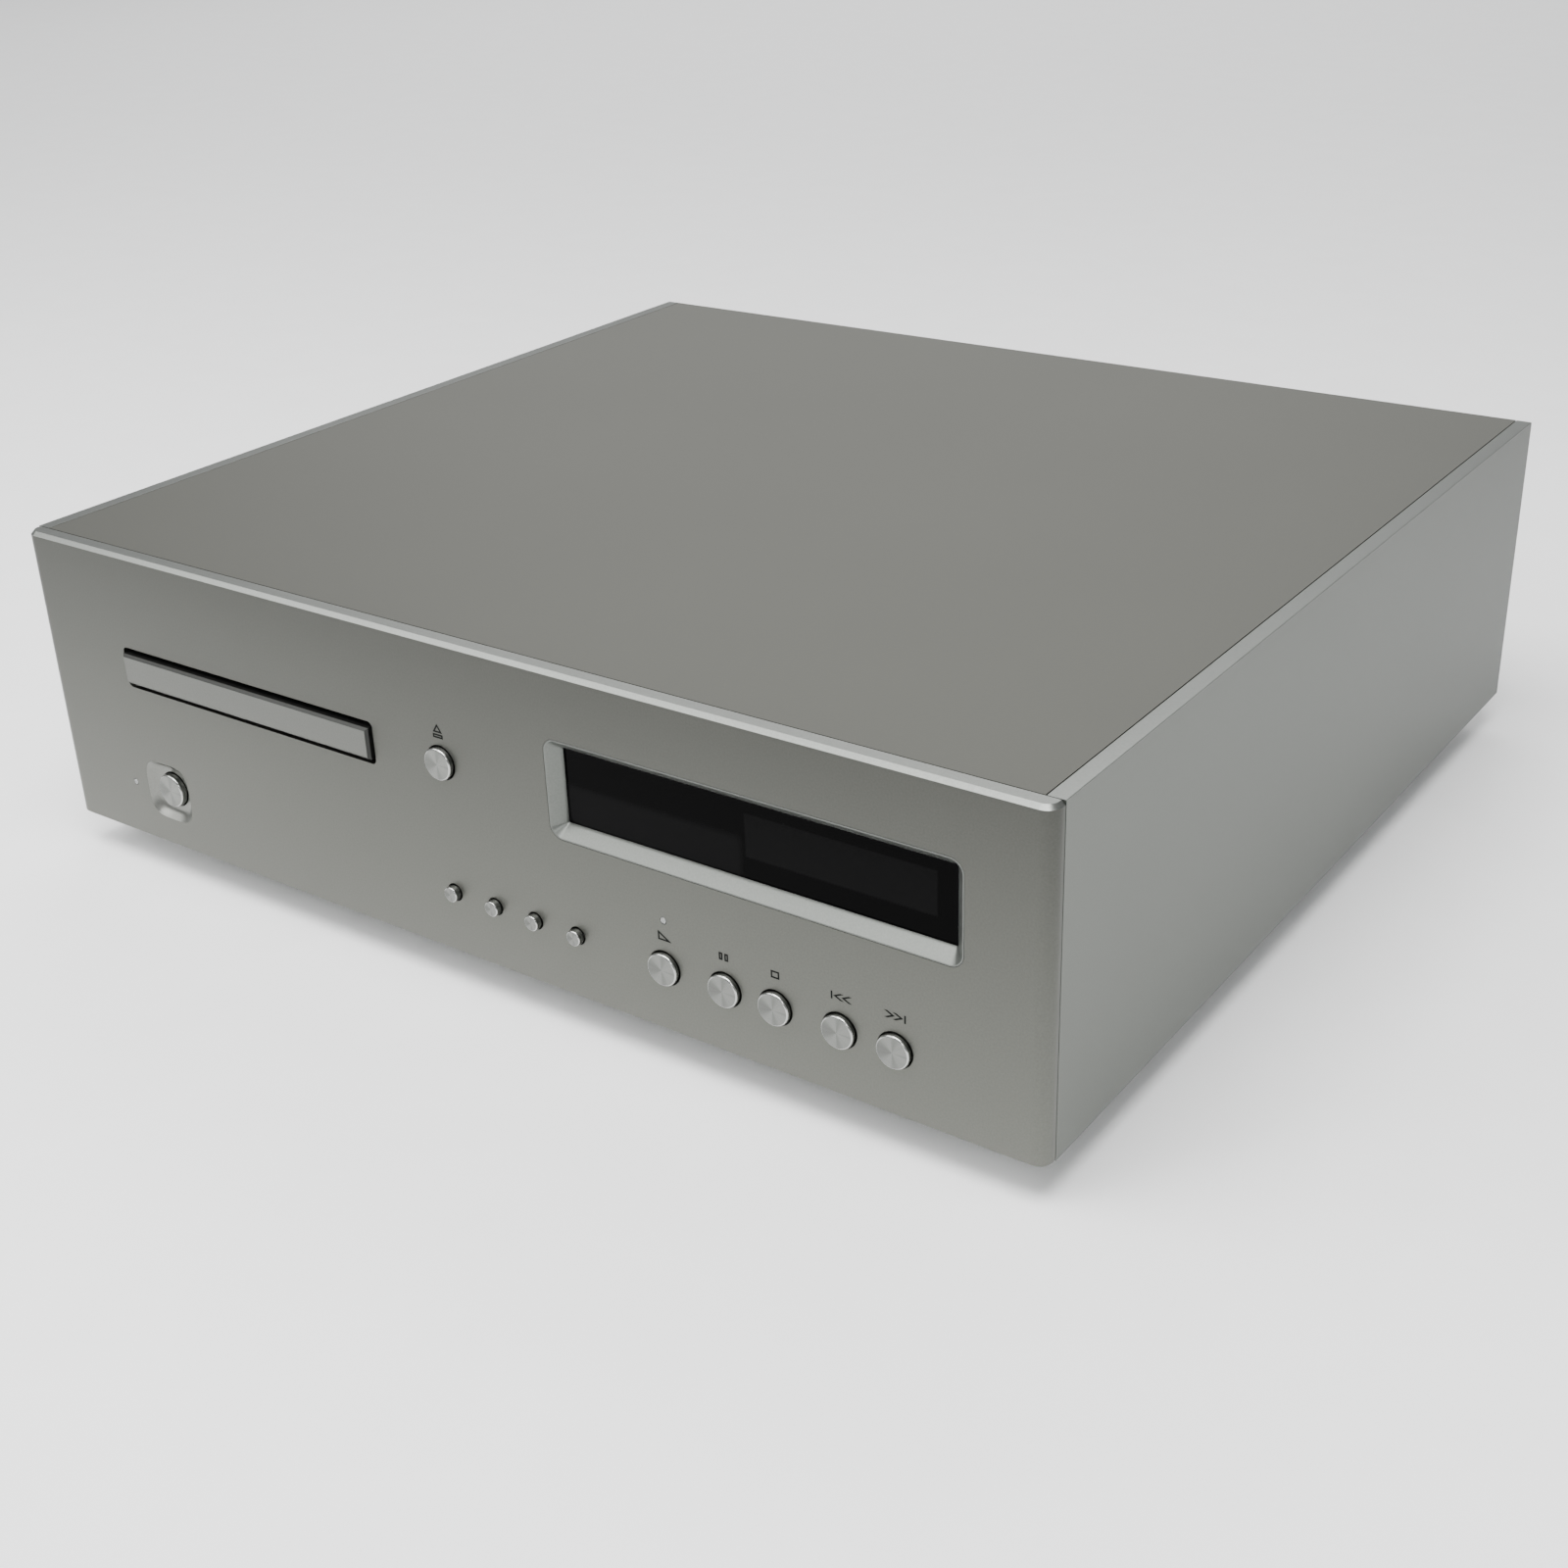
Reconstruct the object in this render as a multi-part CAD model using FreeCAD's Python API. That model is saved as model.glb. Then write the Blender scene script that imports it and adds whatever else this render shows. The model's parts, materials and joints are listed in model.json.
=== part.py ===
import FreeCAD, Part
import math
import os

# Disc player, built in millimetres, +Z up. While building, x runs from the middle of the front
# panel to its right end, y runs back from the face of the front panel and z runs up from the
# floor. The finished pieces are moved back so that the origin is the middle of the footprint.

V = FreeCAD.Vector
X_AXIS = V(1, 0, 0)
Y_AXIS = V(0, 1, 0)
Z_AXIS = V(0, 0, 1)

# Cabinet
WIDTH = 440.0
BODY_HEIGHT = 119.0
BODY_DEPTH = 397.0
FRONT_THICK = 6.0
FRONT_CORNER_R = 5.0
FRONT_CHAMFER = 1.4
SIDE_THICK = 6.0
SIDE_CHAMFER = 1.4
COVER_THICK = 2.0
SHEET_THICK = 1.5
REAR_THICK = 2.0
FLANGE = 12.0
SEAM = 0.4
FIT = 0.1

# Feet
FOOT_R = 26.0
FOOT_TAPER = 3.0
FOOT_HEIGHT = 12.0
FOOT_PAD_R = 18.0
FOOT_PAD_SUNK = 1.0
FOOT_PAD_THICK = 3.0
FOOT_FROM_SIDE = 55.0
FOOT_FROM_FRONT = 62.0
FOOT_FROM_REAR = 57.0

# Front subplate, the steel sheet behind the front panel
SUBPLATE_Y = 10.0
BOSS_R = 4.0

# Tray opening and tray front
WELL_R = 61.0
TRAY_RIM = 1.0
TRAY_FRONT_OVERHANG = 2.3
SLOT_SIDE_GAP = 1.0
SLOT_TOP_GAP = 2.05
SLOT_CORNER_R = 2.0
TRAY_X = -107.4
TRAY_FRONT_Z = 87.4
TRAY_FRONT_HEIGHT = 12.1
TRAY_FRONT_PROUD = 2.0
TRAY_FRONT_BACK = 7.0
TRAY_FRONT_CHAMFER = 1.0

# Display opening
BEZEL_X = 114.3
BEZEL_Z = 91.4
BEZEL_WIDTH = 155.9
BEZEL_HEIGHT = 36.1
BEZEL_CORNER_R = 5.0
BEZEL_DEPTH = 5.0
BEZEL_SLOPE = 4.5
BEZEL_RIM = 0.5
BEZEL_GAP = 0.15
WINDOW_THICK = 2.0

# Buttons: x and z of the centre, on the front panel
POWER_X = -160.7
POWER_Z = 37.5
POWER_R = 6.7
POWER_FLANGE_R = 8.6
POWER_FACE = -0.5
POWER_DISH_WIDTH = 24.0
POWER_DISH_HEIGHT = 23.8
POWER_DISH_CORNER_R = 8.0
POWER_DISH_DEPTH = 3.2
POWER_DISH_SLOPE = 5.0
EJECT_X = -10.5
EJECT_Z = 88.3
EJECT_PROUD = 2.2
MODE_X = (-10.8, 7.9, 25.9, 44.4)
MODE_Z = 38.5
MODE_R = 2.85
MODE_PROUD = 2.7
MODE_FLANGE_R = 4.2
PLAY_X = 81.0
PAUSE_X = 105.2
STOP_X = 124.7
PREVIOUS_X = 148.6
NEXT_X = 168.6
TRANSPORT_Z = 38.0
BUTTON_R = 5.9
BUTTON_PROUD = 2.0
BUTTON_GAP = 0.5
BUTTON_EDGE = 0.5
BUTTON_FLANGE_R = 7.6
BUTTON_FLANGE = 1.0
BUTTON_FLANGE_PLAY = 0.1
STEM_R = 1.5
STEM_PLAY = 0.05
STEM_IN_SWITCH = 0.3

# Indicators
POWER_LAMP = (-180.1, 37.0)
PLAY_LAMP = (81.7, 55.8)
LAMP_R = 1.1
LAMP_PROUD = 0.3
LAMP_GAP = 0.1

# Control board behind the subplate
SWITCH_GAP = 1.0
SWITCH_DEPTH = 2.6
SWITCH_SIZE = 6.0
SWITCH_BORE = 1.9
BOARD_THICK = 1.6
KEY_BOARD_BOTTOM = 26.0
KEY_BOARD_TOP = 62.0
POWER_KEY_BOARD_TOP = 54.0

# Loader, with the disc in the middle of the tray
DISC_Y = 75.0
TRAY_BOTTOM = 86.0
TRAY_THICK = 6.5
TRAY_REAR = 188.0
TRAY_TRAVEL = 138.0
WELL_FLOOR = 2.5
SMALL_WELL_R = 41.0
SMALL_WELL_DEEP = 0.8
TRAY_CUT_HALF = 20.0
TRAY_CUT_FRONT = 55.0
RACK_FRONT = 16.0
RACK_LENGTH = TRAY_TRAVEL + 18.0
RACK_BACK = 6.0
RACK_HEIGHT = 4.5
TOOTH_MODULE = 1.0
TOOTH_PLAY = 0.25
BASE_FLOOR_Z = 58.0
BASE_FLOOR_THICK = 3.0
BASE_WALL = 5.7
BASE_FRONT = 13.0
BASE_REAR = 192.0
BASE_TOP = 96.0
BASE_WALL_GAP = 0.3
LEDGE_WIDTH = 4.0
LEDGE_THICK = 2.5
LEDGE_GAP = 0.1
BRIDGE_FRONT = 58.0
BRIDGE_REAR = 92.0
BRIDGE_THICK = 1.5
PILLAR_R = 5.0
PUCK_R = 15.0
PUCK_BOTTOM = 91.5
PUCK_THICK = 3.5
PUCK_NECK_R = 8.0
PUCK_HOLE_R = 10.0
PUCK_FLANGE_R = 14.0
PUCK_FLANGE = 1.6
PUCK_RECESS_R = 6.5
PUCK_RECESS = 2.2

# Gear train of the loader: x and y are measured from the middle of the tray opening
GEAR_Y = 26.5
DRIVE_TEETH = 24
PINION_TEETH = 12
GEAR_THICK = 4.0
GEAR_DROP = 0.3
AXLE_R = 1.5
AXLE_PLAY = 0.05
PULLEY_R = 12.5
PULLEY_THICK = 4.0
PULLEY_RIM = 0.8
PULLEY_LIFT = 1.5
MOTOR_PULLEY_R = 4.0
MOTOR_X = 30.0
MOTOR_SHAFT_R = 1.0
BELT_WIDTH = 1.8
BELT_THICK = 1.2
BELT_GAP = 0.2
LOADING_MOTOR_R = 12.0
LOADING_MOTOR_LENGTH = 20.0

# Traverse, which carries the spindle and the pickup and tilts about its rear pins
HINGE_Y = 160.0
HINGE_Z = 68.0
HINGE_R = 3.0
TRAVERSE_HALF = 50.0
TRAVERSE_FRONT = 51.0
TRAVERSE_REAR = 166.0
TRAVERSE_Z = 66.0
TRAVERSE_THICK = 3.0
TRAVERSE_DROP = 0.075
SLED_CUT_HALF = 21.0
SPINDLE_MOTOR_R = 13.0
SPINDLE_MOTOR_HEIGHT = 8.0
SPINDLE_R = 1.5
TURNTABLE_R = 15.0
TURNTABLE_TOP = 90.0
TURNTABLE_THICK = 4.0
CONE_TIP_R = 5.0
CONE_HEIGHT = 3.0
ROD_X = 24.0
ROD_R = 1.5
ROD_Z = 74.0
ROD_FRONT = 90.0
ROD_REAR = 161.0
ROD_BLOCK = 4.0
ROD_BLOCK_HALF = 3.0
SLED_FRONT = 99.0
SLED_LENGTH = 22.0
SLED_TRAVEL = 34.0
SLED_HALF = 29.0
SLED_BOTTOM = 70.5
SLED_TOP = 78.5
HEAD_HALF = 12.0
HEAD_TOP = 85.5
LENS_R = 3.6
LENS_TOP = 87.6
LENS_HOLDER_R = 5.5
LENS_WELL = 5.0
LENS_FLOAT = 0.4
SLED_RACK_BACK = 1.2
SLED_MODULE = 0.8
FEED_GEAR_TEETH = 15
FEED_PINION_TEETH = 8
FEED_Y = 124.0
FEED_GEAR_THICK = 3.0
FEED_MOTOR_R = 8.0
FEED_MOTOR_LENGTH = 14.0

# Slide in front of the traverse, whose slots lift the two front pins
CAM_FRONT = 43.0
CAM_THICK = 4.0
CAM_LENGTH = 72.0
CAM_HEIGHT = 21.0
CAM_TRAVEL = 24.0
CAM_PIN_XS = (-8.0, 30.0)
CAM_PIN_Z = 76.0
CAM_PIN_R = 1.5
CAM_PIN_PLAY = 0.35
CAM_GUIDE_GAP = 0.1

# Electronics
STANDOFF = 8.0
STANDOFF_R = 4.0
TRANSFORMER_R = 46.0
TRANSFORMER_HEIGHT = 46.0
TRANSFORMER_FROM_SIDE = 64.0
TRANSFORMER_FROM_REAR = 131.0
POWER_BOARD_SIZE = (110.0, 160.0)
POWER_BOARD_FROM_REAR = 18.0
AUDIO_BOARD_SIZE = (168.0, 170.0)
AUDIO_BOARD_FROM_REAR = 8.0
DIGITAL_BOARD_SIZE = (224.0, 150.0)
DIGITAL_BOARD_FRONT = 40.0
BOARD_FROM_SIDE = 10.0
CAPACITOR_R = 15.0
CAPACITOR_HEIGHT = 45.0
HEAT_SINK_LENGTH = 90.0
HEAT_SINK_HEIGHT = 50.0
HEAT_SINK_FIN = 2.0
HEAT_SINK_FINS = 8
PARTITION_GAP = 7.0
VENT_WIDTH = 4.0
VENT_LENGTH = 40.0
VENT_PITCH = 12.0
VENTS = 8

# Rear connectors, x of each
INLET_FROM_SIDE = 44.0
INLET_Z = 52.0
INLET_WIDTH = 47.0
INLET_HEIGHT = 27.0
OPTICAL_X = (-60.0, -38.0)
COAX_X = (-12.0, 10.0)
PHONO_FROM_SIDE = (140.0, 110.0)
XLR_FROM_SIDE = (70.0, 32.0)
JACK_Z = 68.0
RCA_R = 4.2
RCA_REACH = 13.0
XLR_R = 9.5
XLR_FLANGE = 26.0
XLR_DEEP = 12.0
XLR_BACK = 22.0

# Fasteners
SCREW_R = 1.5
SCREW_HEAD_R = 3.0
SCREW_HEAD = 1.8
SCREW_LENGTH = 8.0

# Overall reach: furthest button in front, terminals behind
FRONT_REACH = max(MODE_PROUD, EJECT_PROUD, BUTTON_PROUD, TRAY_FRONT_PROUD)
REAR_FACE = BODY_DEPTH - COVER_THICK
REAR_Y = REAR_FACE - REAR_THICK
Y_OFFSET = -(REAR_FACE + RCA_REACH - FRONT_REACH) / 2

# Places worked out from the sizes above
FOOT_TOTAL = FOOT_HEIGHT + FOOT_PAD_THICK - FOOT_PAD_SUNK
Z0 = FOOT_TOTAL
Z1 = Z0 + BODY_HEIGHT
HALF = WIDTH / 2
INNER = HALF - SIDE_THICK
TRAY_HALF = WELL_R + TRAY_RIM
TRAY_FRONT_WIDTH = 2 * (TRAY_HALF + TRAY_FRONT_OVERHANG)
SLOT_WIDTH = TRAY_FRONT_WIDTH + 2 * SLOT_SIDE_GAP
SLOT_HEIGHT = TRAY_FRONT_HEIGHT + 2 * SLOT_TOP_GAP
BASE_HALF = TRAY_HALF + BASE_WALL_GAP + BASE_WALL
FOOT_X = HALF - FOOT_FROM_SIDE
TRANSFORMER_X = TRANSFORMER_FROM_SIDE - INNER
TRANSFORMER_Y = REAR_Y - TRANSFORMER_FROM_REAR
INLET_X = INLET_FROM_SIDE - INNER
RCA_X = tuple(INNER - d for d in PHONO_FROM_SIDE)
XLR_X = tuple(INNER - d for d in XLR_FROM_SIDE)


def board_area(right, size, rear):
    # a board given by its right edge, its size and its rear edge
    return (right - size[0], right, rear - size[1], rear)


BOARD_RIGHT = INNER - BOARD_FROM_SIDE
AUDIO_BOARD = board_area(BOARD_RIGHT, AUDIO_BOARD_SIZE, REAR_Y - AUDIO_BOARD_FROM_REAR)
DIGITAL_BOARD = board_area(BOARD_RIGHT, DIGITAL_BOARD_SIZE, DIGITAL_BOARD_FRONT + DIGITAL_BOARD_SIZE[1])
PARTITION_X = AUDIO_BOARD[0] - PARTITION_GAP
POWER_BOARD = board_area(PARTITION_X - PARTITION_GAP, POWER_BOARD_SIZE, REAR_Y - POWER_BOARD_FROM_REAR)
SUBPLATE_BACK = SUBPLATE_Y + SHEET_THICK
SWITCH_FRONT = SUBPLATE_BACK + SWITCH_GAP
KEY_BOARD_Y = SWITCH_FRONT + SWITCH_DEPTH
PLATE_TOP = Z0 + SHEET_THICK
TRAY_TOP = TRAY_BOTTOM + TRAY_THICK
GEAR_TOP = TRAY_BOTTOM - GEAR_DROP
BASE_FLOOR_TOP = BASE_FLOOR_Z + BASE_FLOOR_THICK
RACK_X = -TRAY_HALF + 14.0
DRIVE_R = TOOTH_MODULE * DRIVE_TEETH / 2
PINION_R = TOOTH_MODULE * PINION_TEETH / 2
DRIVE_X = RACK_X + DRIVE_R
PULLEY_X = DRIVE_X + DRIVE_R + PINION_R
SLOT_CENTRE_Z = TRAY_FRONT_Z
SLED_RACK_X = SLED_HALF + SLED_MODULE
FEED_GEAR_X = SLED_RACK_X + SLED_MODULE * FEED_GEAR_TEETH / 2
FEED_PINION_X = FEED_GEAR_X + SLED_MODULE * (FEED_GEAR_TEETH + FEED_PINION_TEETH) / 2
FEED_GEAR_Z = SLED_BOTTOM + 1.0
TRAVERSE_TOP = TRAVERSE_Z + TRAVERSE_THICK


def box(x0, x1, y0, y1, z0, z1):
    return Part.makeBox(x1 - x0, y1 - y0, z1 - z0, V(x0, y0, z0))


def cyl(x, y, z, r, length, axis=Z_AXIS):
    return Part.makeCylinder(r, length, V(x, y, z), axis)


def cone(x, y, z, r0, r1, length, axis=Z_AXIS):
    return Part.makeCone(r0, r1, length, V(x, y, z), axis)


def fuse(shapes):
    return shapes[0].multiFuse(list(shapes[1:])).removeSplitter()


def cut(shape, tools):
    return shape.cut(Part.Compound(list(tools)))


def group(shapes):
    return Part.Compound(list(shapes))


def turned(shape, point, axis, angle):
    copy = shape.copy()
    copy.rotate(point, axis, angle)
    return copy


def moved(shape, x, y, z):
    copy = shape.copy()
    copy.translate(V(x, y, z))
    return copy


def rounded_wire(cx, cz, width, height, r, y):
    # rounded rectangle in the plane of the front panel, at depth y
    w = width / 2
    h = height / 2
    k = r * (1 - math.sqrt(0.5))
    points = []
    for sx, sz in ((1, 1), (-1, 1), (-1, -1), (1, -1)):
        side = V(cx + sx * w, y, cz + sz * (h - r))
        middle = V(cx + sx * (w - k), y, cz + sz * (h - k))
        end = V(cx + sx * (w - r), y, cz + sz * h)
        points.append((side, middle, end) if sx * sz > 0 else (end, middle, side))
    edges = []
    for i, (a, b, c) in enumerate(points):
        edges.append(Part.Arc(a, b, c).toShape())
        edges.append(Part.LineSegment(c, points[(i + 1) % 4][0]).toShape())
    return Part.Wire(edges)


def rounded_block(cx, cz, width, height, r, y0, y1):
    face = Part.Face(rounded_wire(cx, cz, width, height, r, y0))
    return face.extrude(V(0, y1 - y0, 0))


def rounded_taper(cx, cz, width, height, r, slope, y0, y1):
    # the opening narrows by slope on every side from y0 to y1
    front = rounded_wire(cx, cz, width, height, r, y0)
    inner_r = max(r - slope, r / 4)
    back = rounded_wire(cx, cz, width - 2 * slope, height - 2 * slope, inner_r, y1)
    return Part.makeLoft([front, back], True, True)


def front_edges(shape, y, keep):
    return [e for e in shape.Edges if abs(e.BoundBox.YMin - y) < 1e-4
            and abs(e.BoundBox.YMax - y) < 1e-4 and keep(e)]


def gear(x, y, z0, z1, teeth, module, bore, first=0.0):
    # straight spur gear with trapezoidal teeth, first tooth turned by a share of a tooth pitch
    pitch = module * teeth / 2
    root = pitch - 1.25 * module
    tip = pitch + module
    half_root = module * 1.05 - TOOTH_PLAY * module / 2
    half_tip = module * 0.42 - TOOTH_PLAY * module / 2
    inside = root - module / 4
    tooth = Part.makePolygon([V(inside, -half_root, 0), V(tip, -half_tip, 0), V(tip, half_tip, 0),
                              V(inside, half_root, 0), V(inside, -half_root, 0)])
    tooth = Part.Face(tooth).extrude(V(0, 0, z1 - z0))
    shapes = [Part.makeCylinder(root, z1 - z0)]
    for i in range(teeth):
        shapes.append(turned(tooth, V(0, 0, 0), Z_AXIS, 360.0 * (i + first) / teeth))
    wheel = fuse(shapes)
    if bore > 0:
        wheel = wheel.cut(Part.makeCylinder(bore, z1 - z0))
    return moved(wheel, x, y, z0)


def rack(pitch_x, y0, length, z0, z1, module, back, tooth_y):
    # teeth point to +x and one of them lies at tooth_y; the bar is back thick behind the roots
    step = math.pi * module
    root = pitch_x - 1.25 * module
    tip = pitch_x + module
    inside = root - module / 4
    half_root = module * 1.05 - TOOTH_PLAY * module / 2
    half_tip = module * 0.42 - TOOTH_PLAY * module / 2
    shapes = [box(root - back, root, y0, y0 + length, z0, z1)]
    yc = tooth_y - step * int((tooth_y - y0 - half_root) / step)
    while yc + half_root < y0 + length:
        line = Part.makePolygon([V(inside, yc - half_root, z0), V(tip, yc - half_tip, z0),
                                 V(tip, yc + half_tip, z0), V(inside, yc + half_root, z0),
                                 V(inside, yc - half_root, z0)])
        shapes.append(Part.Face(line).extrude(V(0, 0, z1 - z0)))
        yc += step
    return fuse(shapes)


def screw(x, y, z, axis, length=SCREW_LENGTH):
    # head seated at the given point, shank running along axis
    back = axis * -1
    head = Part.makeCylinder(SCREW_HEAD_R, SCREW_HEAD, V(x, y, z), back)
    shank = Part.makeCylinder(SCREW_R, length, V(x, y, z), axis)
    return head.fuse(shank).removeSplitter()


BUTTONS = {
    "power_button": (POWER_X, POWER_Z, POWER_R, POWER_FACE, POWER_FLANGE_R),
    "eject_button": (EJECT_X, EJECT_Z, BUTTON_R, EJECT_PROUD, BUTTON_FLANGE_R),
    "play_button": (PLAY_X, TRANSPORT_Z, BUTTON_R, BUTTON_PROUD, BUTTON_FLANGE_R),
    "pause_button": (PAUSE_X, TRANSPORT_Z, BUTTON_R, BUTTON_PROUD, BUTTON_FLANGE_R),
    "stop_button": (STOP_X, TRANSPORT_Z, BUTTON_R, BUTTON_PROUD, BUTTON_FLANGE_R),
    "previous_button": (PREVIOUS_X, TRANSPORT_Z, BUTTON_R, BUTTON_PROUD, BUTTON_FLANGE_R),
    "next_button": (NEXT_X, TRANSPORT_Z, BUTTON_R, BUTTON_PROUD, BUTTON_FLANGE_R),
}
for number, mode_x in enumerate(MODE_X):
    BUTTONS["mode_button_%d" % (number + 1)] = (mode_x, MODE_Z, MODE_R, MODE_PROUD, MODE_FLANGE_R)
BOSS_FROM_SIDE = 14.0
BOSS_FROM_EDGE = 12.0
BOSS_MIDDLE_X = 60.0
PANEL_BOSSES = [(x, z) for x in (BOSS_FROM_SIDE - INNER, BOSS_MIDDLE_X, INNER - BOSS_FROM_SIDE)
                for z in (Z0 + BOSS_FROM_EDGE, Z1 - BOSS_FROM_EDGE)]


def front_panel():
    panel = box(-HALF, HALF, 0, FRONT_THICK, Z0, Z1)
    upright = front_edges(panel, 0, lambda e: e.BoundBox.ZLength > BODY_HEIGHT / 2)
    panel = panel.makeFillet(FRONT_CORNER_R, upright)
    top = [e for e in panel.Edges if abs(e.BoundBox.ZMin - Z1) < 1e-4
           and e.BoundBox.YMin < FRONT_THICK - 1e-3]
    panel = panel.makeChamfer(FRONT_CHAMFER, top)
    cuts = [rounded_block(TRAY_X, SLOT_CENTRE_Z, SLOT_WIDTH, SLOT_HEIGHT, SLOT_CORNER_R, -1,
                          FRONT_THICK + 1),
            rounded_block(BEZEL_X, BEZEL_Z, BEZEL_WIDTH, BEZEL_HEIGHT, BEZEL_CORNER_R, -1, FRONT_THICK + 1),
            rounded_taper(POWER_X, POWER_Z, POWER_DISH_WIDTH, POWER_DISH_HEIGHT, POWER_DISH_CORNER_R,
                          POWER_DISH_SLOPE, 0, POWER_DISH_DEPTH)]
    for x, z, r, proud, flange_r in BUTTONS.values():
        cuts.append(cyl(x, -1, z, r + BUTTON_GAP, FRONT_THICK + 2, Y_AXIS))
    for x, z in (POWER_LAMP, PLAY_LAMP):
        cuts.append(cyl(x, -1, z, LAMP_R + LAMP_GAP, FRONT_THICK + 2, Y_AXIS))
    panel = cut(panel, cuts)
    bosses = [cyl(x, FRONT_THICK, z, BOSS_R, SUBPLATE_Y - FRONT_THICK, Y_AXIS) for x, z in PANEL_BOSSES]
    panel = fuse([panel] + bosses)
    return cut(panel, [cyl(x, FRONT_THICK, z, SCREW_R, SUBPLATE_Y, Y_AXIS) for x, z in PANEL_BOSSES])


def display_bezel():
    w = BEZEL_WIDTH - 2 * BEZEL_GAP
    h = BEZEL_HEIGHT - 2 * BEZEL_GAP
    ring = rounded_block(BEZEL_X, BEZEL_Z, w, h, BEZEL_CORNER_R - BEZEL_GAP, 0, BEZEL_DEPTH)
    funnel = rounded_taper(BEZEL_X, BEZEL_Z, w - 2 * BEZEL_RIM, h - 2 * BEZEL_RIM,
                           BEZEL_CORNER_R - BEZEL_RIM,
                           BEZEL_SLOPE - BEZEL_RIM, 0, BEZEL_DEPTH)
    return ring.cut(funnel)


def display_window():
    w = BEZEL_WIDTH - 2 * BEZEL_GAP
    h = BEZEL_HEIGHT - 2 * BEZEL_GAP
    return rounded_block(BEZEL_X, BEZEL_Z, w, h, BEZEL_CORNER_R - BEZEL_GAP, BEZEL_DEPTH, BEZEL_DEPTH
                         + WINDOW_THICK)


def side_panel(side):
    xs = sorted((side * HALF, side * INNER))
    panel = box(xs[0], xs[1], FRONT_THICK + SEAM, BODY_DEPTH, Z0, Z1)
    edge = [e for e in panel.Edges if abs(e.BoundBox.ZMin - Z1) < 1e-4
            and abs(e.BoundBox.XMin - side * HALF) < 1e-4 and abs(e.BoundBox.XMax - side * HALF) < 1e-4]
    return panel.makeChamfer(SIDE_CHAMFER, edge)


def cover_screw_places():
    outer = INNER - 2 * FLANGE
    return [(x, Z1 - FLANGE / 2 - COVER_THICK) for x in (-outer, -outer / 3, outer / 3, outer)]


def top_cover():
    inner = INNER - SEAM
    sheet = box(-inner, inner, FRONT_THICK + SEAM, BODY_DEPTH, Z1 - COVER_THICK, Z1)
    lip = box(-inner, inner, REAR_FACE, BODY_DEPTH, Z1 - FLANGE, Z1)
    shape = fuse([sheet, lip])
    return cut(shape, [cyl(x, REAR_Y, z, SCREW_R, 9, Y_AXIS) for x, z in cover_screw_places()])


def standoffs(area):
    x0, x1, y0, y1 = area
    return [(x, y) for x in (x0 + 6, x1 - 6) for y in (y0 + 6, y1 - 6)]


def foot_places():
    return [(x, y) for x in (-FOOT_X, FOOT_X) for y in (FOOT_FROM_FRONT, BODY_DEPTH - FOOT_FROM_REAR)]


def bottom_plate():
    plate = box(-INNER, INNER, FRONT_THICK + FIT, REAR_Y, Z0, PLATE_TOP)
    sides = [box(-INNER, -INNER + SHEET_THICK, SUBPLATE_BACK, REAR_Y, Z0, Z0 + FLANGE),
             box(INNER - SHEET_THICK, INNER, SUBPLATE_BACK, REAR_Y, Z0, Z0 + FLANGE)]
    posts = []
    for area in (POWER_BOARD, AUDIO_BOARD, DIGITAL_BOARD):
        posts += [cyl(x, y, Z0, STANDOFF_R, SHEET_THICK + STANDOFF) for x, y in standoffs(area)]
    first = POWER_BOARD[0] + 4 * STANDOFF_R
    rows = (POWER_BOARD[2] + STANDOFF_R * 4, POWER_BOARD[3] - STANDOFF_R * 4 - VENT_LENGTH)
    slots = [box(x, x + VENT_WIDTH, y, y + VENT_LENGTH, Z0 - 1, PLATE_TOP + 1)
             for x in [first + i * VENT_PITCH for i in range(VENTS)] for y in rows]
    holes = [cyl(x, y, Z0 - 1, SCREW_R, SHEET_THICK + 2) for x, y in foot_places()]
    return cut(fuse([plate] + sides), slots + holes).multiFuse(posts).removeSplitter()


def jack_places():
    return [(x, JACK_Z) for x in RCA_X + COAX_X]


def rear_panel():
    panel = box(-INNER, INNER, REAR_Y, REAR_FACE, Z0, Z1 - COVER_THICK - FIT)
    cuts = [box(INLET_X - INLET_WIDTH / 2 - FIT, INLET_X + INLET_WIDTH / 2 + FIT, REAR_Y - 1, REAR_FACE + 1,
                INLET_Z - INLET_HEIGHT / 2 - FIT, INLET_Z + INLET_HEIGHT / 2 + FIT)]
    cuts += [cyl(x, REAR_Y - 1, z, RCA_R + FIT, 4, Y_AXIS) for x, z in jack_places()]
    cuts += [cyl(x, REAR_Y - 1, JACK_Z, XLR_R + 2 + FIT, 4, Y_AXIS) for x in XLR_X]
    cuts += [box(x - 5.1, x + 5.1, REAR_Y - 1, REAR_FACE + 1, JACK_Z - 5.1, JACK_Z + 5.1) for x in OPTICAL_X]
    cuts += [cyl(x, REAR_Y - 1, z, SCREW_R, 4, Y_AXIS) for x, z in cover_screw_places()]
    return cut(panel, cuts)


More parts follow.
